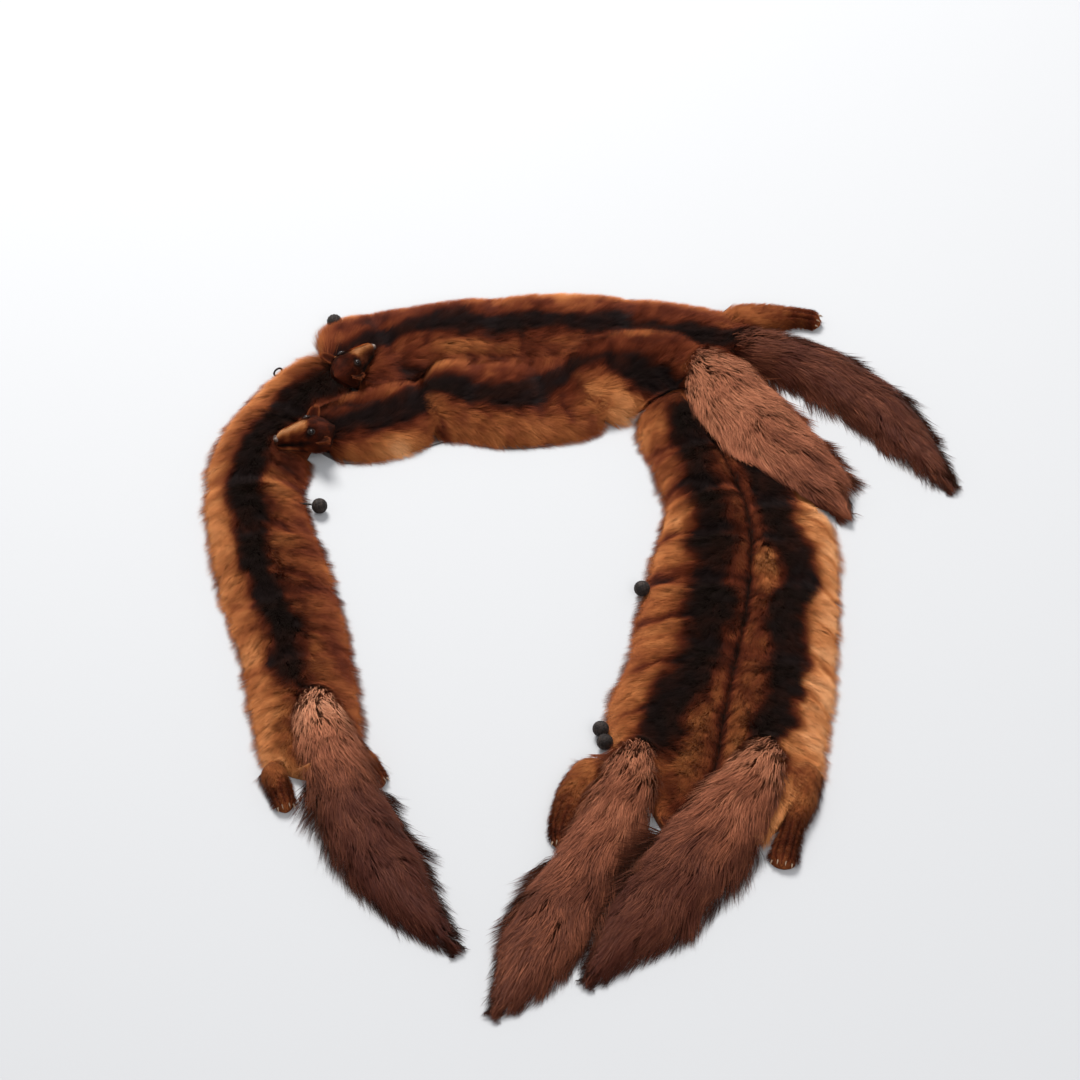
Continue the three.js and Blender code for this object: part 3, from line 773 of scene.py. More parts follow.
def skin_tone(strip, x, y, along, across):
    """Tone of a pelt at points: its ground from edge to edge and its patches, with the stripe
    easing out into them, painted shade in its creases, clefts and seam, and soft noise."""
    pelt = PELTS[strip.name]
    wobble = noise(x, y, EDGE_WOBBLE)
    side = flow_side(strip, across)
    tone = np.interp(side + 0.02 * wobble, *zip(*pelt["ground"]))
    tone = tone + sum(patch_at(patch, x, y) for patch in pelt["patches"])
    gap, half = follow(pelt["stripe"], x, y)
    tone = STRIPE_TONE + (tone - STRIPE_TONE) * ease((gap + wobble - half * 0.5) / pelt["fade"])
    # Painted shade: each crease is darkened where shade falls into it.
    for at, deep, wide in strip.form["creases"]:
        tone = tone - CREASE_SHADE * deep * bell(along + wobble - at, 0.4 * wide)
    # Painted shade: clefts and the seam are darkened where shade falls into them.
    tone = tone - CLEFT_SHADE * clefts_at(strip, x, y)
    return tone + STREAK * mottle(along, side * 16, 6, 9) + noise(x, y, PELT_FLECKS)


def flow_side(strip, across):
    """How far a place lies towards a free edge: -1 at the right edge, 1 at the left one. On a
    skin that is sewn to its neighbour, 0 at the seam."""
    side = strip.form["side"]
    if side == "left":
        return across
    if side == "right":
        return across - 1
    return 2 * across - 1


# A tail's tone at shares of its length, from its root to its tip, and that of its streaks.
TAIL_STREAK = 0.045
TAIL_TONES = {
    "tail_left": [(0, 0.95), (0.14, 0.92), (0.32, 0.6), (0.5, 0.4), (1, 0.3)],
    "tail_band_rear": [(0, 0.5), (0.3, 0.42), (1, 0.42)],
    "tail_band_front": [(0, 0.76), (0.4, 0.75), (0.7, 0.66), (1, 0.55)],
    "tail_right_inner": [(0, 0.76), (0.3, 0.64), (0.6, 0.52), (1, 0.48)],
    "tail_right_outer": [(0, 0.88), (0.25, 0.68), (0.6, 0.45), (1, 0.36)],
}


def tail_tone(strip, x, y, along, across):
    """Tone of a tail, whatever its x and y: from its root to its tip, streaked along its hair
    by two layers of noise that are drawn out lengthwise."""
    tone = np.interp(along / strip.length, *zip(*TAIL_TONES[strip.name]))
    fine, broad = mottle(along / 4, across * 40, 2, 9), mottle(along / 9, across * 18, 2, 10)
    return tone + TAIL_STREAK * (fine + broad)


# A paw's tone at shares of its length, from its root to its toes, and its flecks. The grooves
# between its toes are given as shares of the way across, with their half width and the painted
# shade that darkens them.
PAW_TONES = [(0, 0.66), (0.45, 0.62), (0.7, 0.5), (0.95, 0.46), (1, 0.6)]
PAW_FLECKS = [(0.09, 5, 11)]
TOE_GROOVES = (0.33, 0.5, 0.67)
GROOVE_HALF = 0.028
GROOVE_SHADE = 0.12


def toe_groove(strip, along, across):
    """How deep a place lies in a groove between toes, from 0 to 1: only on the paw's far end."""
    on_toes = ease((along / strip.length - 0.5) / 0.2)
    return on_toes * sum(bell(across - at, GROOVE_HALF) for at in TOE_GROOVES)


def paw_tone(strip, x, y, along, across):
    """Tone of a paw: its leg is like a rim, its toes are darker, with painted shade in the grooves between
    them.
    """
    tone = np.interp(along / strip.length, *zip(*PAW_TONES))
    # Painted shade: the grooves between the toes are darkened.
    return tone - GROOVE_SHADE * toe_groove(strip, along, across) + noise(x, y, PAW_FLECKS)


def eye_gap(strip, x, y):
    """Distance on the plan from points to the nearer eye of a head."""
    eyes = [on_head(strip.rows, **on_side(EYE_PLACE, side)) for side in (1, -1)]
    return np.min([np.hypot(x - eye[X], y - eye[Y]) for eye in eyes], 0)


# A head's tone at shares of the way from nape to snout, its bridge's, and its flecks.
HEAD_TONES = [(0, 0.26), (0.25, 0.28), (0.5, 0.34), (0.8, 0.42), (1, 0.46)]
BRIDGE_TONE = 0.95
HEAD_FLECKS = [(0.12, 3, 12)]


def head_tone(strip, x, y, along, across):
    """Tone of a head: dark red-brown from the nape, a little paler to the snout, with a pale
    bridge to the nose, dark rings round the eyes, painted shade on the lower cheeks and a pale lip."""
    share = along / strip.length
    aside = np.abs(2 * across - 1)
    tone = np.interp(share, *zip(*HEAD_TONES))
    # Painted shade on the lower cheeks: the shaded sides of the muzzle below the bridge.
    cheek = bell(aside - 0.66, 0.12) * ease((share - 0.3) / 0.2)
    lip = bell(aside - 0.9, 0.06) * ease((share - 0.5) / 0.2)
    bridge = 1.15 * bell(aside, 0.2) * ease((share - 0.36) / 0.14) * ease((1.02 - share) / 0.1)
    tone = tone - 0.3 * cheek + 0.2 * lip
    tone = tone + (BRIDGE_TONE - tone) * bridge
    tone = tone - 0.3 * bell(eye_gap(strip, x, y) - 1.6, 1.3)
    return tone + noise(x, y, HEAD_FLECKS)


TONES = {id(SKIN): skin_tone, id(TAIL): tail_tone, id(PAW): paw_tone, id(HEAD): head_tone}

# Coats. density is hairs for each square millimetre, length and width are of one hair, lay is 1
# where hair points away from the head end and -1 where it points back, splay is how far it
# leans outwards at an edge, in radians, clump is a lock's size along and across and pull how far
# its tips close up, stray the scatter of the tips, rise how far a hair bows up, joints the number
# of straight stretches in it, over its height over a lower piece, tumble how differently locks
# lie, patchy how differently they are toned, fray how far locks stand out at an edge, and grade
# its length from head end to rump.
COATS = {
    id(SKIN): dict(
        density=4.4, length=9.5, width=0.44, lay=1, splay=0.95, clump=(6, 4.5), pull=0.26,
        stray=0.7, rise=1.5, joints=1, over=0.6, tumble=0.5, patchy=0.06, fray=0.8,
        grade=[(0, 1), (1, 1)],
    ),
    id(TAIL): dict(
        density=1.8, length=27, width=0.5, lay=1, splay=0.5, clump=(16, 5), pull=0.6,
        stray=1.2, rise=2.4, joints=2, over=0.8, tumble=0.4, patchy=0.11, fray=10,
        grade=[(0, 0.4), (0.1, 0.65), (0.3, 1), (1, 1)],
    ),
    id(PAW): dict(
        density=5.5, length=5, width=0.4, lay=1, splay=0.5, clump=(3, 2.5), pull=0.25,
        stray=0.4, rise=0.5, joints=1, over=0.2, tumble=0.4, patchy=0.08, fray=0.5,
        grade=[(0, 1.6), (0.3, 1.1), (0.6, 0.6), (1, 0.5)],
    ),
    id(HEAD): dict(
        density=10, length=3.4, width=0.3, lay=-1, splay=0.5, clump=(2, 1.6), pull=0.2,
        stray=0.18, rise=0.3, joints=1, over=0.1, tumble=0.3, patchy=0.08, fray=0.3,
        grade=[(0, 3), (0.3, 1.5), (0.6, 0.8), (1, 0.5)],
    ),
}
SEEDS = {strip.name: 101 + i for i, strip in enumerate(STRIPS)}


class Sheet:
    """A surface as a fine grid of points that can be read at any place along and across it."""

    def __init__(self, distance, points, start, end):
        self.distance = distance
        self.length = distance[-1]
        self.points = points
        self.columns = points.shape[1]
        self.arc = np.linalg.norm(np.diff(points, axis=1), axis=2).sum(1)
        self.normals = unit(np.cross(np.gradient(points, axis=0), np.gradient(points, axis=1)))
        self.start, self.end = start, end
        self.aside = unit(points[:, -1, :2] - points[:, 0, :2])

    def read(self, values, along, across):
        """Values of the grid at places, blended from the four grid points around each."""
        a = np.interp(np.clip(along, 0, self.length), self.distance, np.arange(len(self.distance)))
        a = np.clip(a, 0, len(self.distance) - 1.001)
        b = np.clip(across, 0, 1) * (self.columns - 1.001)
        i, j = a.astype(int), b.astype(int)
        f, g = (a - i)[:, None], (b - j)[:, None]
        low = values[i, j] * (1 - g) + values[i, j + 1] * g
        high = values[i + 1, j] * (1 - g) + values[i + 1, j + 1] * g
        return low * (1 - f) + high * f

    def place(self, along, across):
        """Points at places. Past an end they go straight on. Past the low part of either wall
        they stand away from it, and sink a little."""
        arc = np.interp(along, self.distance, self.arc)
        margin = WALL_MARGIN / arc
        held = np.clip(across, margin, 1 - margin)
        beyond = (across - held) * arc
        points = self.read(self.points, along, held)
        after = np.maximum(0, along - self.length)[:, None]
        before = np.minimum(0, along)[:, None]
        points[:, :2] += after * self.end + before * self.start
        row = np.clip(np.searchsorted(self.distance, along), 0, len(self.distance) - 1)
        points[:, :2] += HANG_OUT * beyond[:, None] * self.aside[row]
        points[:, 2] -= HANG_DOWN * np.abs(beyond)
        return points


# The lowest stretch of a side wall, which hair hangs over instead of lying on, in millimetres,
# and how far hair goes out and down there for each millimetre past it.
WALL_MARGIN = 2.2
HANG_OUT = 0.55
HANG_DOWN = 0.25


def swell(strip, x, y):
    """How much a pelt puffs up or sinks at points: its pale patches stand up, dark ones and
    clefts sink."""
    puffs = sum(patch_at(patch, x, y) for patch in PELTS[strip.name]["patches"])
    return SWELL * puffs - CLEFT_SINK * clefts_at(strip, x, y)


def carve_head(strip, distance, points):
    """A head's relief, as heights out of its surface: a narrow bridge to the nose, brows over
    sunk eyes, full cheeks, and a mouth cut in along each side."""
    share = (distance / strip.length)[:, None]
    aside = np.abs(np.linspace(-1, 1, points.shape[1]))[None, :]
    gap = eye_gap(strip, points[:, :, 0], points[:, :, 1])
    bridge = 0.9 * bell(aside, 0.18) * ease((share - 0.35) / 0.2)
    socket = 0.9 * bell(gap, 2.4)
    brow = 0.9 * bell(share - 0.27, 0.07) * bell(aside - 0.34, 0.16)
    cheek = 0.8 * bell(share - 0.6, 0.14) * bell(aside - 0.6, 0.14)
    mouth = 1.1 * bell(aside - 0.8, 0.05) * ease((share - 0.45) / 0.2)
    return bridge - socket + brow + cheek - mouth


# How deep the grooves between toes are, and the notches at their ends, in millimetres.
TOE_DEPTH = 1.1


def shaped(strip, distance, points):
    """A strip's surface with its relief: puffs and clefts of a skin with its creases, the
    carving of a head, or the grooves of a paw."""
    points = points.copy()
    normals = unit(np.cross(np.gradient(points, axis=0), np.gradient(points, axis=1)))
    if strip.kind is HEAD:
        return points + normals * carve_head(strip, distance, points)[:, :, None]
    if strip.kind is PAW:
        across = np.linspace(0, 1, points.shape[1])[None, :]
        depth = TOE_DEPTH * toe_groove(strip, distance[:, None], across)
        points[:, :, 2] -= depth * np.clip(points[:, :, 2] / 10, 0, 1)
        return points
    if strip.kind is SKIN:
        full = np.clip(points[:, :, 2] / PILE, 0, 1)
        flat = points.reshape(-1, 3)
        points[:, :, 2] += full * swell(strip, flat[:, 0], flat[:, 1]).reshape(full.shape)
        for at, deep, wide in strip.form["creases"]:
            points[:, :, 2] -= full * deep * bell(distance - at, 0.5 * wide)[:, None]
    return points


def strip_sheet(strip, inset=0.0, lift=1.0):
    """A strip's surface as a sheet, closer together at its round ends, with its relief."""
    count = max(24, int(strip.length / 2.5))
    ends = 0.5 - 0.5 * np.cos(np.linspace(0, math.pi, count))
    distance = strip.length * (0.3 * ends + 0.7 * np.linspace(0, 1, count))
    points = shaped(strip, distance, strip.surface(distance, 61, inset, lift))
    start = strip.way(np.array([0.0]))[0]
    end = strip.way(np.array([strip.length]))[0]
    return Sheet(distance, points, start, end)


def hashed(i, j, seed):
    """A random number from 0 to 1 for each pair of whole numbers."""
    table = np.random.default_rng(seed).random(4096)
    return table[(i * 7919 + j * 104729) % 4096]


COVERED = 1.2
LEAN_SCATTER = 0.12
TILT_SCATTER = 0.14
LEAN_WAVE = 0.3
WAVE_LENGTH = 22
# MEETING_SHADE is the painted shade, as tone taken off, on hair beside a higher neighbour, and MEETING_GAP
# how near that neighbour counts.
MEETING_SHADE = 0.16
MEETING_GAP = 1.8
GROUND_GAP = 0.25
SEAM_KEEP = 0.8


def scatter(coat, bare, outer, others, rng):
    """Places of roots along and across a strip, evenly scattered over its bare shell where no
    other piece covers it, and the height of each above its neighbour."""
    cells = (bare.arc[1:] + bare.arc[:-1]) / 2 * np.diff(bare.distance)
    filled = np.concatenate([[0], np.cumsum(cells)])
    thin = 1.0
    count = int(coat["density"] * filled[-1] * thin)
    along = np.interp(rng.random(count) * filled[-1], filled, bare.distance)
    across = rng.random(count)
    seen = outer.place(along, across)
    neighbour = look_up(others, seen[:, 0], seen[:, 1])
    above = np.where(neighbour > 0, seen[:, 2] - neighbour, PILE)
    keep = above > -COVERED
    return along[keep], across[keep], above[keep]


def find_locks(coat, along, across, arc, rng):
    """The lock that each hair belongs to, as two whole numbers, and that lock's middle."""
    lock_long, lock_wide = coat["clump"]
    i = np.floor(along / lock_long + 0.5 * rng.random(len(along))).astype(int)
    j = np.floor(across * arc / lock_wide + 0.5 * rng.random(len(along))).astype(int)
    middle_along = (i + 0.25 + 0.5 * hashed(i, j, 1)) * lock_long
    middle_across = (j + 0.25 + 0.5 * hashed(i, j, 2)) * lock_wide / arc
    return (i, j), middle_along, middle_across


def comb(strip, coat, along, across, arc, rng):
    """Places of the tips, and the lock of each hair. A hair leans down the strip and, towards a
    free edge, out. It is drawn to the middle of its lock, and past an end it falls short."""
    count = len(along)
    lock, middle_along, middle_across = find_locks(coat, along, across, arc, rng)
    side = flow_side(strip, across)
    turn = coat["splay"] * side * np.abs(side) ** 0.5
    turn = turn + coat["tumble"] * (hashed(*lock, 3) - 0.5) + rng.normal(0, LEAN_SCATTER, count)
    turn = turn + LEAN_WAVE * mottle(along, across * arc, WAVE_LENGTH, SEEDS[strip.name])
    share = along / strip.length
    reach = coat["length"] * rng.uniform(0.6, 1.1, count) * (0.75 + 0.5 * hashed(*lock, 4))
    reach = reach * np.interp(share, *zip(*coat["grade"]))
    reach = reach * (1 + (strip.form["brush"] - 1) * ease((share - 0.55) / 0.4))
    close = coat["pull"] * rng.uniform(0.4, 1.2, count) * (1 - 0.6 * side**4)
    tip_along = along + coat["lay"] * reach * np.cos(turn) + close * (middle_along - along)
    room = np.maximum(0.5, strip.length + strip.form["past"] - along)
    onward = along + room * (1 - np.exp(-np.maximum(tip_along - along, 0.2) / room))
    tip_along = np.where(coat["lay"] > 0, onward, np.maximum(tip_along, -1.5))
    tip_across = across + reach * np.sin(turn) / arc + close * (middle_across - across)
    stand_out = side**5 * coat["fray"] * hashed(*lock, 7)
    tip_across = tip_across + stand_out * rng.uniform(0.3, 1, count) / arc
    if strip.form["side"] == "left":
        tip_across = np.maximum(tip_across, SEAM_KEEP / arc)
    if strip.form["side"] == "right":
        tip_across = np.minimum(tip_across, 1 - SEAM_KEEP / arc)
    return tip_along, tip_across, lock


def grow(strip, bare, outer, others):
    """Hairs of a strip: points of each, its tilt, flat places of its root and tip, and tone.

    A hair is rooted on the bare shell. Its tip ends on the solid's outer surface and lies on
    whatever the solid borders. Its middle bows up from the straight line between them. It takes
    painted shade, a darker tone, where pieces meet."""
    coat = COATS[id(strip.kind)]
    rng = np.random.default_rng(SEEDS[strip.name])
    along, across, above = scatter(coat, bare, outer, others, rng)
    count = len(along)
    root = bare.place(along, across)
    normal = bare.read(bare.normals, along, across)
    arc = np.interp(along, outer.distance, outer.arc)
    tip_along, tip_across, lock = comb(strip, coat, along, across, arc, rng)
    tip = outer.place(tip_along, tip_across)
    tip += rng.normal(0, coat["stray"], (count, 3)) * (0.6, 0.6, 0.5)
    tip += normal * (coat["stray"] * (hashed(*lock, 5) - 0.3)[:, None] * 1.1)
    rest = look_up(others, tip[:, 0], tip[:, 1])
    tip[:, 2] = np.maximum(tip[:, 2], np.where(rest > 0, rest + coat["over"], 0.4))

    share = np.linspace(0, 1, coat["joints"] + 1)[None, :, None]
    bow = 4 * share * (1 - share) * coat["rise"] * rng.uniform(0.5, 1.4, (count, 1, 1))
    points = root[:, None, :] * (1 - share) + tip[:, None, :] * share + normal[:, None, :] * bow
    points[:, :, 2] = np.maximum(points[:, :, 2], GROUND_GAP)
    flat = np.stack([along, (across - 0.5) * arc, tip_along, (tip_across - 0.5) * arc], 1)
    tip_on = np.clip(tip_along, 0, strip.length)
    tone = TONES[id(strip.kind)](strip, tip[:, 0], tip[:, 1], tip_on, np.clip(tip_across, 0, 1))
    tone = tone + coat["patchy"] * (hashed(*lock, 6) - 0.5)
    # Painted shade: hair beside a higher neighbour is darkened where shade falls between pieces.
    tone = tone - MEETING_SHADE * bell(above, MEETING_GAP)
    tilt = unit(normal + rng.normal(0, TILT_SCATTER, (count, 3)))
    order = np.argsort(-along)
    return points[order], tilt[order], flat[order], tone[order], rng.random(count), coat["width"]


def ribbons(points, tilt, width):
    """Corners of ribbons: along each hair they stand half a width to each side, and the last
    is the hair's tip."""
    joints = points.shape[1] - 1
    taper = np.interp(np.arange(joints) / joints, [0, 0.5, 1], [0.8, 1.0, 0.5])
    aside = unit(np.cross(points[:, -1] - points[:, 0], tilt))
    half = 0.5 * width * taper[None, :, None] * aside[:, None, :]
    corners = np.empty((len(points), 2 * joints + 1, 3))
    corners[:, 0:-1:2] = points[:, :-1] - half
    corners[:, 1:-1:2] = points[:, :-1] + half
    corners[:, -1] = points[:, -1]
    return corners


def ribbon_faces(count, joints):
    """Corner numbers of all the ribbons' faces, each one's first corner, and their corner
    counts: quads up each ribbon, and one triangle to its tip."""
    quads = [(2 * k, 2 * k + 1, 2 * k + 3, 2 * k + 2) for k in range(joints - 1)]
    loops = np.array([c for quad in quads for c in quad] + [2 * joints - 2, 2 * joints - 1, 2 * joints])
    totals = np.array([4] * (joints - 1) + [3])
    starts = np.concatenate([[0], np.cumsum(totals)[:-1]])
    base = np.arange(count)[:, None]
    all_loops = (base * (2 * joints + 1) + loops[None, :]).ravel()
    all_starts = (base * len(loops) + starts[None, :]).ravel()
    return all_loops, all_starts, np.tile(totals, count)


def laid_flat(flat, width, share):
    """The bake map's places of the corners: every hair as it lies on the pelt laid flat, all
    of it fitted into the unit square."""
    way = unit(flat[:, 2:] - flat[:, :2])
    beside = np.stack([-way[:, 1], way[:, 0]], 1) * 0.5 * width
    sign = np.concatenate([np.tile([-1.0, 1.0], len(share) // 2), [0.0]])
    spread = flat[:, None, :2] + (flat[:, None, 2:] - flat[:, None, :2]) * share[None, :, None]
    spread = (spread + beside[:, None, :] * sign[None, :, None]).reshape(-1, 2)
    low, high = spread.min(0), spread.max(0)
    return (spread - low) / (high - low).max()


def hair_piece(name, hairs, material):
    """One joined piece of hairs, each a ribbon that narrows to its tip."""
    points, tilt, flat, tone, strand, width = hairs
    count, joints = len(points), points.shape[1] - 1
    corners = ribbons(points, tilt, width)
    loops, starts, totals = ribbon_faces(count, joints)
    mesh = bpy.data.meshes.new(name)
    mesh.vertices.add(count * (2 * joints + 1))
    mesh.vertices.foreach_set("co", ((corners.reshape(-1, 3) + SHIFT) * MM).astype(np.float32).ravel())
    mesh.loops.add(len(loops))
    mesh.loops.foreach_set("vertex_index", loops.astype(np.int32))
    mesh.polygons.add(len(starts))
    mesh.polygons.foreach_set("loop_start", starts.astype(np.int32))
    mesh.polygons.foreach_set("loop_total", totals.astype(np.int32))
    mesh.update(calc_edges=True)
    share = np.concatenate([np.repeat(np.arange(joints) / joints, 2), [1.0]])
    uv = laid_flat(flat, width, share)[loops]
    mesh.uv_layers.new(name="OFBake").data.foreach_set("uv", uv.astype(np.float32).ravel())
    spots = {
        "tone": np.repeat(tone, len(share)),
        "strand": np.repeat(strand, len(share)),
        "along": np.tile(share, count),
    }
    return piece_of(mesh, [material], spots)


# A shell's columns over its top, the parts of its underside, how far it stays above the shells
# below it, how thick its leather is, and how closely its sections follow on each other.
SHELL_COLUMNS = 41
UNDER_PARTS = 8
SHELL_GAP = 0.3
LEATHER_THICK = 0.8
FINE_STEP = 1.2
SHELL_STEP = 4


def shell_piece(strip, heights, materials):
    """The bare pelt under a strip's hair: its section drawn in and lowered, closed below. Where
    it lies on earlier pieces, its underside and a thin leather follow their shells."""
    inset, lift = SHELL[id(strip.kind)]
    step = FINE_STEP if strip.kind in (PAW, HEAD) else SHELL_STEP
    count = max(10, int(strip.length / step))
    turn = 0.5 - 0.5 * np.cos(np.linspace(0, math.pi, count))
    distance = strip.length * (0.5 * turn + 0.5 * np.linspace(0, 1, count))
    distance = np.clip(distance, 0.3, strip.length - 0.3)
    columns = SHELL_COLUMNS
    top = shaped(strip, distance, strip.surface(distance, columns, inset, lift))
    shares = np.linspace(1, 0, UNDER_PARTS + 1)[1:-1]
    left_foot, right_foot = top[:, -1], top[:, 0]
    part = shares[None, :, None]
    bottom = right_foot[:, None] * (1 - part) + left_foot[:, None] * part
    rings = np.concatenate([top, bottom], 1)
    around = rings.shape[1]
    points = rings.reshape(-1, 3).copy()
    floor = look_up(heights.below(strip.name), points[:, 0], points[:, 1])
    floor = np.where(floor > 0, floor + SHELL_GAP, strip.form["foot"])
    is_top = np.tile(np.arange(around) < columns, count)
    edge = np.tile(np.isin(np.arange(around), (0, columns - 1)), count)
    low = np.where(is_top & ~edge, floor + LEATHER_THICK, floor)
    points[:, 2] = np.maximum(points[:, 2], low)
    along = np.repeat(distance, around)
    across = np.tile(np.concatenate([np.linspace(0, 1, columns), shares]), count)
    tone = TONES[id(strip.kind)](strip, points[:, 0], points[:, 1], along, across)
    spots = {"tone": tone, "strand": np.full(len(tone), 0.5), "along": np.zeros(len(tone))}
    piece = add_piece(strip.name + "_pelt", points, closed_faces(count, around), materials, spots)
    under = np.tile(np.arange(around) >= columns - 1, count - 1)
    index = np.concatenate([under.astype(np.int32), [0, 0]]).astype(np.int32)
    piece.data.polygons.foreach_set("material_index", index)
    return piece


def new_material(name, rough, base=(0.8, 0.8, 0.8, 1.0)):
    """An empty procedural material: its node tree and its shader."""
    material = bpy.data.materials.new(name)
    material.use_nodes = True
    tree = material.node_tree
    shader = tree.nodes["Principled BSDF"]
    shader.inputs["Roughness"].default_value = rough
    shader.inputs["Base Color"].default_value = base
    return material, tree, shader


def node(tree, kind, inputs=None, **settings):
    """A node with its settings; inputs maps a socket to a value or to another socket."""
    made = tree.nodes.new(kind)
    for key, value in settings.items():
        setattr(made, key, value)
    for key, value in (inputs or {}).items():
        if isinstance(value, bpy.types.NodeSocket):
            tree.links.new(value, made.inputs[key])
        else:
            made.inputs[key].default_value = value
    return made


def math_node(tree, operation, *values):
    """The result of one sum on sockets or numbers."""
    return node(tree, "ShaderNodeMath", dict(enumerate(values)), operation=operation).outputs[0]


def ramp(tree, value, stops):
    """A colour ramp over a value, from pairs of a place and a colour."""
    made = node(tree, "ShaderNodeValToRGB", {"Fac": value})
    bar = made.color_ramp.elements
    while len(bar) < len(stops):
        bar.new(0.5)
    for element, (place, colour) in zip(bar, stops):
        element.position = place
        element.color = (*colour, 1)
    return made.outputs["Color"]


SKIN_COLOURS = [
    (0.0, (0.010, 0.005, 0.0045)),
    (0.15, (0.026, 0.0075, 0.0045)),
    (0.30, (0.072, 0.0125, 0.0045)),
    (0.42, (0.145, 0.029, 0.0105)),
    (0.52, (0.235, 0.058, 0.0185)),
    (0.65, (0.36, 0.105, 0.031)),
    (0.80, (0.55, 0.195, 0.061)),
    (0.92, (0.70, 0.285, 0.10)),
    (1.0, (0.82, 0.40, 0.17)),
]
TAIL_COLOURS = [
    (0.0, (0.02, 0.006, 0.0045)),
    (0.2, (0.042, 0.0105, 0.007)),
    (0.35, (0.07, 0.018, 0.0105)),
    (0.5, (0.118, 0.036, 0.019)),
    (0.65, (0.27, 0.085, 0.042)),
    (0.85, (0.5, 0.19, 0.095)),
    (1.0, (0.68, 0.31, 0.17)),
]


def attribute(tree, name):
    """A named value of the mesh's points."""
    return node(tree, "ShaderNodeAttribute", attribute_name=name).outputs["Fac"]


def fur_material(name, colours, root_shade, spread, gloss):
    """Fur: the pelt's tone through a ramp of its colours. A hair is darker at its root, and one
    hair differs a little from the next. gloss is its faint specular level and sheen."""
    material, tree, shader = new_material(name, 0.6)
    tone = attribute(tree, "tone")
    strand = attribute(tree, "strand")
    along = attribute(tree, "along")
    varied = math_node(tree, "MULTIPLY_ADD", math_node(tree, "SUBTRACT", strand, 0.5), spread, tone)
    colour = ramp(tree, varied, colours)
    light = math_node(tree, "MULTIPLY_ADD", along, 1 - root_shade, root_shade)
    shaded = node(tree, "ShaderNodeVectorMath", {0: colour, "Scale": light}, operation="SCALE")
    tree.links.new(shaded.outputs[0], shader.inputs["Base Color"])
    shader.inputs["Specular IOR Level"].default_value = gloss
    shader.inputs["Sheen Weight"].default_value = gloss
    shader.inputs["Sheen Roughness"].default_value = 0.4
    shader.inputs["Sheen Tint"].default_value = (1.0, 0.7, 0.5, 1)
    return material


def roughen(tree, shader, height, relief):
    """Gives a finish a fine relief, 0.2 mm at most, from a height."""
    bump = {"Strength": relief, "Distance": 0.0002, "Height": height}
    tree.links.new(node(tree, "ShaderNodeBump", bump).outputs["Normal"], shader.inputs["Normal"])


def backing_material():
    """The underside: dark brown lining cloth with a fine twill and soft wear."""
    material, tree, shader = new_material("backing_cloth", 0.6)
    place = node(tree, "ShaderNodeTexCoord").outputs["Object"]
    twill = node(
        tree,
        "ShaderNodeTexWave",
        {"Vector": place, "Scale": 900.0, "Distortion": 0.4},
        bands_direction="DIAGONAL",
    )
    worn = node(tree, "ShaderNodeTexNoise", {"Vector": place, "Scale": 35.0, "Detail": 4.0})
    stops = [(0.3, (0.022, 0.014, 0.012)), (0.7, (0.05, 0.032, 0.026))]
    tree.links.new(ramp(tree, worn.outputs["Fac"], stops), shader.inputs["Base Color"])
    roughen(tree, shader, twill.outputs["Fac"], 0.2)
    shader.inputs["Sheen Weight"].default_value = 0.3
    return material


def mottled_material(name, rough, fleck, stops, grain, relief):
    """A plain finish of two scales: fleck is the scale of its noise of colours, through the
    stops, and grain the scale of the fine noise that roughens its surface by relief."""
    material, tree, shader = new_material(name, rough)
    place = node(tree, "ShaderNodeTexCoord").outputs["Object"]
    flecks = node(tree, "ShaderNodeTexNoise", {"Vector": place, "Scale": fleck, "Detail": 3.0})
    tree.links.new(ramp(tree, flecks.outputs["Fac"], stops), shader.inputs["Base Color"])
    grains = node(tree, "ShaderNodeTexNoise", {"Vector": place, "Scale": grain, "Detail": 2.0})
    roughen(tree, shader, grains.outputs["Fac"], relief)
    return material, shader


def cord_material():
    """Dark crocheted cord: fine fibres, a little lighter on worn places."""
    stops = [(0.35, (0.008, 0.006, 0.005)), (0.75, (0.035, 0.023, 0.018))]
    material, shader = mottled_material("crochet_cord", 0.6, 400.0, stops, 2600.0, 0.4)
    shader.inputs["Sheen Weight"].default_value = 0.03
    shader.inputs["Specular IOR Level"].default_value = 0.15
    return material


def nose_material():
    """A nose pad: dark leather with paler worn places."""
    stops = [(0.36, (0.03, 0.02, 0.017)), (0.52, (0.11, 0.075, 0.06)), (0.66, (0.3, 0.24, 0.2))]
    material, shader = mottled_material("nose_leather", 0.75, 420.0, stops, 1500.0, 0.35)
    shader.inputs["Specular IOR Level"].default_value = 0.12
    return material


def lid_material():
    """Dark bare skin round the eyes."""
    stops = [(0.3, (0.008, 0.005, 0.004)), (0.7, (0.03, 0.016, 0.011))]
    material, shader = mottled_material("lid_skin", 0.8, 600.0, stops, 2400.0, 0.3)
    shader.inputs["Specular IOR Level"].default_value = 0.1
    return material


def horn_material():
    """Claws: brown horn, paler in places."""
    stops = [(0.3, (0.12, 0.06, 0.03)), (0.7, (0.42, 0.28, 0.17))]
    return mottled_material("claw_horn", 0.35, 300.0, stops, 1800.0, 0.2)[0]


def glass_material():
    """A glass eye: dark brown under a clear gloss."""
    stops = [(0.4, (0.003, 0.002, 0.0015)), (0.7, (0.02, 0.008, 0.004))]
    material, shader = mottled_material("eye_glass", 0.12, 700.0, stops, 900.0, 0.0)
    shader.inputs["Coat Weight"].default_value = 0.3
    shader.inputs["Coat Roughness"].default_value = 0.03
    shader.inputs["Specular IOR Level"].default_value = 0.12
    return material


def floor_material():
    """A plain pale floor."""
    material, _, shader = new_material("pale_floor", 0.9, (0.44, 0.44, 0.44, 1))
    shader.inputs["Specular IOR Level"].default_value = 0.1
    return material


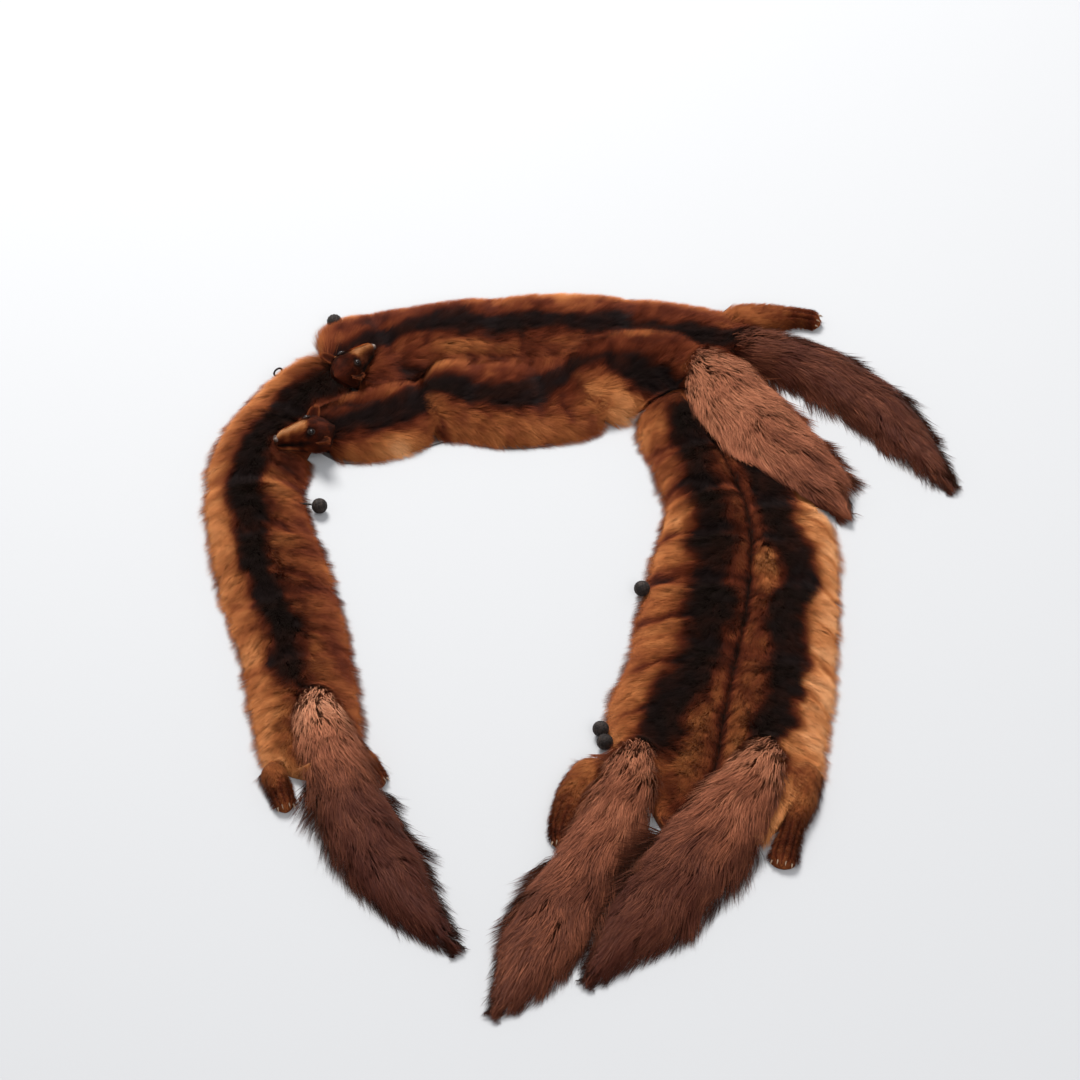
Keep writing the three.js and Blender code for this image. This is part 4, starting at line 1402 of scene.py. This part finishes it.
BUTTONS = [(-137, 197, 5.5), (-141, 25, 5.5), (64, -48, 6), (37, -165.2, 5.5), (39.4, -175.8, 5.5)]
BUTTON_RADIUS = 5.2
BUTTON_GRID = (84, 43)
RIBS = 14
STITCH_ROWS = 9


def crocheted_ball(name, middle, lean, material):
    """A ball button: a sphere whose radius swells at each stitch. Ribs run from pole to pole
    with a slight spiral, crossed by rows of stitches, every second rib half a stitch on."""
    turns, rises = BUTTON_GRID
    turn, rise = np.meshgrid(round_turns(turns), np.linspace(0, math.pi, rises))
    rib = np.abs(np.cos(RIBS / 2 * turn + 0.9 * rise))
    half_on = np.floor(RIBS / (2 * math.pi) * (turn + 1.8 * rise / RIBS) + 0.5) % 2
    stitch = np.abs(np.cos(STITCH_ROWS * rise + half_on * math.pi / 2))
    body = rib**0.6 * (0.55 + 0.45 * stitch)
    radius = BUTTON_RADIUS * (0.9 + 0.1 * body * np.sin(rise) ** 0.4)
    ball = np.stack([
        radius * np.sin(rise) * np.cos(turn),
        radius * np.sin(rise) * np.sin(turn),
        -radius * np.cos(rise),
    ], -1)
    c, s = math.cos(lean), math.sin(lean)
    tipped = np.array([[1, 0, 0], [0, c, -s], [0, s, c]])
    points = ball @ tipped.T + np.array(middle, float)
    return add_piece(name, points, closed_faces(rises, turns), [material])


CORD_SIDES = 12


def twisted_cord(name, path, radius, twist, material, closed=False):
    """A two-ply cord along a path: its outline has two lobes, which turn as it goes on."""
    path = np.array(path, float)
    way = unit(np.roll(path, -1, 0) - np.roll(path, 1, 0)) if closed else unit(np.gradient(path, axis=0))
    level = unit(np.cross(way, (0.0, 0.3, 1.0)))
    upright = np.cross(level, way)
    steps = np.linalg.norm(np.diff(path, axis=0), axis=1)
    along = np.concatenate([[0], np.cumsum(steps)])
    turn = round_turns(CORD_SIDES)
    lobe = radius * (0.72 + 0.28 * np.abs(np.cos(turn[None, :] - twist * along[:, None])))
    out = level[:, None, :] * np.cos(turn)[None, :, None] + upright[:, None, :] * np.sin(turn)[None, :, None]
    points = path[:, None, :] + lobe[:, :, None] * out
    rows = len(path)
    faces = closed_faces(rows, CORD_SIDES)
    if closed:
        last = rows * CORD_SIDES
        faces = [[corner % last for corner in face] for face in grid_faces(rows + 1, CORD_SIDES)]
    return add_piece(name, points, faces, [material])


# The fastening loop, and the second button's stem from end to end, with the radius of each
# one's cord and how fast its two plies turn, in radians for each millimetre.
LOOP = dict(middle=(-172.5, 147, 7), radius=3, tip=-0.5, turn=0.6)
LOOP_CORD = 0.7
STEM = np.array([(-155, 27, 6), (-146.2, 26, 5.8)])
STEM_CORD = 0.75
PLY_TWIST = 2.0


def loop_path():
    """The fastening loop: a circle, tipped and turned."""
    angle = round_turns(48)
    x = LOOP["radius"] * np.cos(angle)
    z = -LOOP["radius"] * np.sin(angle)
    ct, st = math.cos(LOOP["tip"]), math.sin(LOOP["tip"])
    tipped_x, tipped_z = x * ct + z * st, -x * st + z * ct
    cr, sr = math.cos(LOOP["turn"]), math.sin(LOOP["turn"])
    return np.stack([tipped_x * cr, tipped_x * sr, tipped_z], 1) + np.array(LOOP["middle"], float)


# An eye's ball, and the middle line and thickness of the lid round it.
EYE_RADIUS = 1.7
LID_RADIUS = 1.75
LID_THICK = 0.6
# Half lengths of a nose pad forwards, to the side and up, and how deep its nostrils are.
NOSE_HALVES = (1.7, 2.6, 1.9)
NOSTRIL_DEPTH = 0.35
# An ear: its size, how far it leans out from upright and turns aside, in radians, how deep its
# cup is, how thick its leather is, and how many hairs it has and of what length.
EAR_WIDTH = 8
EAR_HEIGHT = 8
EAR_LEAN = 1.1
EAR_TURN = 0.6
EAR_CUP = 1.3
EAR_THICK = 0.7
EAR_HAIRS = 1600
EAR_HAIR = 3.4
EAR_HAIR_WIDTH = 0.34


def axes(rows):
    """A head's own axes: forwards, to its left and up, as rows."""
    turn = heading(rows)
    c, s = math.cos(turn), math.sin(turn)
    return np.array([[c, s, 0], [-s, c, 0], [0, 0, 1]])


def ball_ways(turns, rises):
    """Unit vectors all round a ball, in rings from its lowest point to its highest."""
    turn, rise = np.meshgrid(round_turns(turns), np.linspace(0.01, math.pi - 0.01, rises))
    return np.stack([np.sin(rise) * np.cos(turn), np.sin(rise) * np.sin(turn), -np.cos(rise)], -1)


def eye_pieces(name, rows, side, glass, lid):
    """A glass eye, and a bare lid round it as a ring that faces out and up."""
    middle = on_head(rows, **on_side(EYE_PLACE, side))
    points = middle + EYE_RADIUS * ball_ways(28, 17)
    eye = add_piece("glass_" + name, points, closed_faces(17, 28), [glass])
    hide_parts("eye_" + name)
    out = unit(np.array([0.1, 0.62 * side, 0.78]) @ axes(rows))
    level = unit(np.cross(out, (0.0, 0.0, 1.0)))
    upright = np.cross(level, out)
    angle = round_turns(32)[:, None]
    ring = level * np.cos(angle) * 1.15 + upright * np.sin(angle) * 0.9
    path = middle + 0.35 * out + LID_RADIUS * ring
    twisted_cord("lid_" + name, path, LID_THICK, 0, lid, closed=True)


def nose_piece(name, rows, material):
    """A nose pad: a flattened ball with a hollow for each nostril."""
    ways = ball_ways(36, 23)
    pad = np.ones(ways.shape[:2])
    for side in (1, -1):
        nostril = unit(np.array([0.72, 0.62 * side, 0.1]))
        pad = pad - NOSTRIL_DEPTH * bell(np.linalg.norm(ways - nostril, axis=2), 0.3)
    points = (ways * pad[:, :, None] * NOSE_HALVES) @ axes(rows) + on_head(rows, **NOSE_PLACE)
    nose = add_piece("nose_pad_" + name, points, closed_faces(23, 36), [material])
    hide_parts("nose_" + name)


def ear_surface(rows, side, rise, across, back):
    """Points of an ear, at shares of the way up it and across it. It is half an ellipse whose
    middle is pressed in as a cup, and its back lies a leather's thickness behind its face."""
    turn = heading(rows) + side * EAR_TURN
    wide = np.array([math.cos(turn), math.sin(turn), 0])
    aside = side * np.array([-math.sin(turn), math.cos(turn), 0])
    up = math.sin(EAR_LEAN) * aside + math.cos(EAR_LEAN) * np.array([0, 0, 1.0])
    face = side * np.cross(wide, up)
    half = EAR_WIDTH / 2 * np.sqrt(1 - 0.97 * rise**2)
    depth = -EAR_CUP * (1 - across**2) * (1 - 0.5 * rise)
    depth = depth - back * EAR_THICK * (1.1 - across**2)
    points = (half * across)[..., None] * wide + (EAR_HEIGHT * rise - 1)[..., None] * up
    return points + depth[..., None] * face + on_head(rows, **on_side(EAR_PLACE, side)), up, face


def ear_pieces(name, rows, side, number, fur):
    """A cupped ear of thin leather, and short hair on both its faces."""
    rows_up, columns = 14, 15
    rise, across = np.meshgrid(np.linspace(0, 1, rows_up), np.linspace(-1, 1, columns), indexing="ij")
    front = ear_surface(rows, side, rise, across, 0)[0]
    behind = ear_surface(rows, side, rise, across, 1)[0][:, ::-1]
    rings = np.concatenate([front, behind], 1)[:, ::side]
    rim = np.abs(across) ** 3
    tone = np.concatenate([0.26 + 0.2 * rim, 0.2 + 0.26 * rim], 1)[:, ::side].ravel()
    spots = {"tone": tone, "strand": np.full(len(tone), 0.5), "along": np.full(len(tone), 0.4)}
    faces = closed_faces(rows_up, 2 * columns)
    ear = add_piece("ear_cup_" + name, rings, faces, [fur], spots)
    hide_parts("ear_" + name)
    rng = np.random.default_rng(301 + number)
    rise, across = rng.uniform(0.05, 1, EAR_HAIRS), rng.uniform(-1, 1, EAR_HAIRS)
    back = (rng.random(EAR_HAIRS) > 0.45).astype(float)
    root, up, face = ear_surface(rows, side, rise, across, back)
    lift = np.where(back > 0, -0.25, 0.2)[:, None] * face
    way = unit(up + lift + rng.normal(0, 0.16, (EAR_HAIRS, 3)))
    tip = root + EAR_HAIR * rng.uniform(0.5, 1, (EAR_HAIRS, 1)) * way
    flat = np.stack([rise * 8, across * 4 + back * 12, rise * 8 + 2, across * 4 + back * 12], 1)
    tone = 0.22 + 0.3 * np.maximum(np.abs(across) ** 3, rise**4) + rng.normal(0, 0.06, EAR_HAIRS)
    points, tilt = np.stack([root, tip], 1), np.tile(face, (EAR_HAIRS, 1))
    hairs = (points, tilt, flat, tone, rng.random(EAR_HAIRS), EAR_HAIR_WIDTH)
    hair_piece("ear_hair_" + name, hairs, fur)


def dress_heads(fur, glass, lid, leather):
    """Eyes, nose and ears of both heads."""
    for name, rows in (("left", HEAD_LEFT), ("band", HEAD_BAND)):
        nose_piece(name, rows, leather)
        for number, side in enumerate((1, -1), 1):
            eye_pieces(f"{name}_{number}", rows, side, glass, lid)
            ear_pieces(f"{name}_{number}", rows, side, number, fur)


# Claws: their length, thickness at the root, and places across the paw.
CLAW_LENGTH = 3
CLAW_RADIUS = 0.6
CLAW_PLACES = (0.24, 0.41, 0.59, 0.76)


def claw_piece(strip, horn):
    """A paw's claws, joined: each a cone that narrows to its point and bends down."""
    sheet = strip_sheet(strip)
    turns = round_turns(8)
    share = np.linspace(0, 0.97, 9)[:, None]
    way = np.array([*sheet.end, 0.0])
    aside = np.array([-way[1], way[0], 0.0])
    up = np.array([0.0, 0.0, 1.0])
    points, faces = [], []
    for place in CLAW_PLACES:
        root = sheet.place(np.array([strip.length - 2.2]), np.array([place]))[0] * (1, 1, 0.72)
        lean = unit(way + 0.5 * (0.5 - place) * -aside)
        line = root + CLAW_LENGTH * share * lean - 1.4 * share**2 * up
        ring = aside * np.cos(turns)[:, None] + up * np.sin(turns)[:, None]
        radius = CLAW_RADIUS * (1 - share) ** 0.8
        cone = line[:, None, :] + radius[:, :, None] * ring[None, :, :]
        first = len(points) * len(share) * len(turns)
        faces += [[corner + first for corner in face] for face in closed_faces(len(share), len(turns))]
        points.append(cone.reshape(-1, 3))
    joined = np.concatenate(points)
    joined[:, 2] = np.maximum(joined[:, 2], 0.3)
    add_piece("claws_" + strip.name, joined, faces, [horn])


# The camera: how far it looks down, how far off it is in millimetres, and its focal length as a
# share of the picture's width.
CAMERA_RISE = math.radians(46)
CAMERA_AWAY = 2800
FOCAL_SHARE = 4400 / 1080
SENSOR = 36


def add_camera():
    """The photograph's camera: far off, looking down on the stole from the front."""
    data = bpy.data.cameras.new("camera")
    data.sensor_width = SENSOR
    data.lens = SENSOR * FOCAL_SHARE
    data.clip_end = 20
    camera = new_object("camera", data)
    away = CAMERA_AWAY * np.array([0, -math.cos(CAMERA_RISE), math.sin(CAMERA_RISE)])
    camera.location = (away + SHIFT * (1, 1, 0)) * MM
    camera.rotation_euler = (math.pi / 2 - CAMERA_RISE, 0, 0)
    bpy.context.scene.camera = camera


def add_light(name, place, size, power):
    """A soft square lamp at a place in metres, turned to the stole's middle."""
    data = bpy.data.lights.new(name, "AREA")
    data.shape = "SQUARE"
    data.size = size
    data.energy = power
    lamp = new_object(name, data)
    lamp.location = place
    lamp.rotation_euler = (-Vector(place)).to_track_quat("-Z", "Y").to_euler()


# The floor's half width and how far it lies below the stole, and the lamps' names, places, sizes
# and powers, in metres and watts.
FLOOR_HALF = 12.0
FLOOR_DROP = 0.0002
LAMPS = [("key", (-0.5, 1.5, 2.0), 0.9, 96), ("front", (0.7, -1.6, 2.0), 1.6, 30)]


def add_stage():
    """A pale floor, one large lamp over the far side, a weaker one in front, and pale air."""
    mesh = bpy.data.meshes.new("floor")
    wide = FLOOR_HALF
    corners = [(-wide, -wide, 0), (wide, -wide, 0), (wide, wide, 0), (-wide, wide, 0)]
    mesh.from_pydata(corners, [], [(0, 1, 2, 3)])
    mesh.materials.append(floor_material())
    floor = new_object("floor", mesh)
    floor.location = (0, 0, -FLOOR_DROP)
    floor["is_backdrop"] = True
    for name, place, size, power in LAMPS:
        add_light(name, place, size, power)
    bpy.context.scene.view_settings.view_transform = "Standard"
    world = bpy.data.worlds.new("air")
    world.use_nodes = True
    air = world.node_tree.nodes["Background"].inputs
    air["Color"].default_value = (0.9, 0.93, 1.0, 1)
    air["Strength"].default_value = 0.6
    bpy.context.scene.world = world


def flat_size(strip):
    """A strip's cut laid flat, in metres: its widest section, its length, and its area."""
    distance = np.linspace(0, strip.length, 200)
    left, right, _ = strip.section(distance)
    side = strip.form["side"]
    wide = {"left": left, "right": right, "both": left + right}[side]
    return wide.max() * MM, strip.length * MM, wide.mean() * strip.length * MM * MM


SLOTS = {id(SKIN): "fur_skin", id(TAIL): "fur_tail", id(PAW): "fur_paw", id(HEAD): "fur_head"}


def dress_strips(materials, backing):
    """Shells and hair of every strip, in the order in which they are laid."""
    heights = Heights(STRIPS)
    for strip in STRIPS:
        material = materials[id(strip.kind)]
        slot = SLOTS[id(strip.kind)]
        inset, lift = SHELL[id(strip.kind)]
        shell = shell_piece(strip, heights, [material, backing])
        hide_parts(strip.name)
        hairs = grow(strip, strip_sheet(strip, inset, lift), strip_sheet(strip), heights.others(strip.name))
        hair = hair_piece(strip.name + "_hair", hairs, material)
        if strip.kind in (SKIN, TAIL):
            width, length, area = flat_size(strip)


def dress_buttons(material):
    """Ball buttons, the stem of the second, and the fastening loop."""
    for number, middle in enumerate(BUTTONS, 1):
        ball = crocheted_ball(f"ball_{number}", middle, 0.9 + 0.4 * number, material)
        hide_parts(f"button_{number}")
    steps = np.linspace(0, 1, 24)[:, None]
    path = STEM[0] * (1 - steps) + STEM[1] * steps
    stem = twisted_cord("stem", path, STEM_CORD, PLY_TWIST, material)
    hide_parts("button_shank")
    loop = twisted_cord("loop", loop_path(), LOOP_CORD, PLY_TWIST, material, closed=True)
    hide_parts("cord_loop")


def finish_nodes(materials):
    """Materials of the frame's pieces that stay as they are."""
    for name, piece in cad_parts.items():
        material = next((m for start, m in materials.items() if name.startswith(start)), None)
        if material:
            piece.data.materials.clear()
            piece.data.materials.append(material)


def build():
    """The whole stole on its stage."""
    skin_fur = fur_material("pelt_fur", SKIN_COLOURS, 0.5, 0.08, 0.04)
    tail_fur = fur_material("tail_fur", TAIL_COLOURS, 0.5, 0.16, 0.05)
    backing = backing_material()
    cord = cord_material()
    add_camera()
    add_stage()
    furs = {id(SKIN): skin_fur, id(TAIL): tail_fur, id(PAW): skin_fur, id(HEAD): skin_fur}
    dress_strips(furs, backing)
    dress_buttons(cord)
    dress_heads(skin_fur, glass_material(), lid_material(), nose_material())
    horn = horn_material()
    for strip in STRIPS:
        if strip.kind is PAW:
            claw_piece(strip, horn)
    finish_nodes({"lining": backing})


build()

low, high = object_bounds()
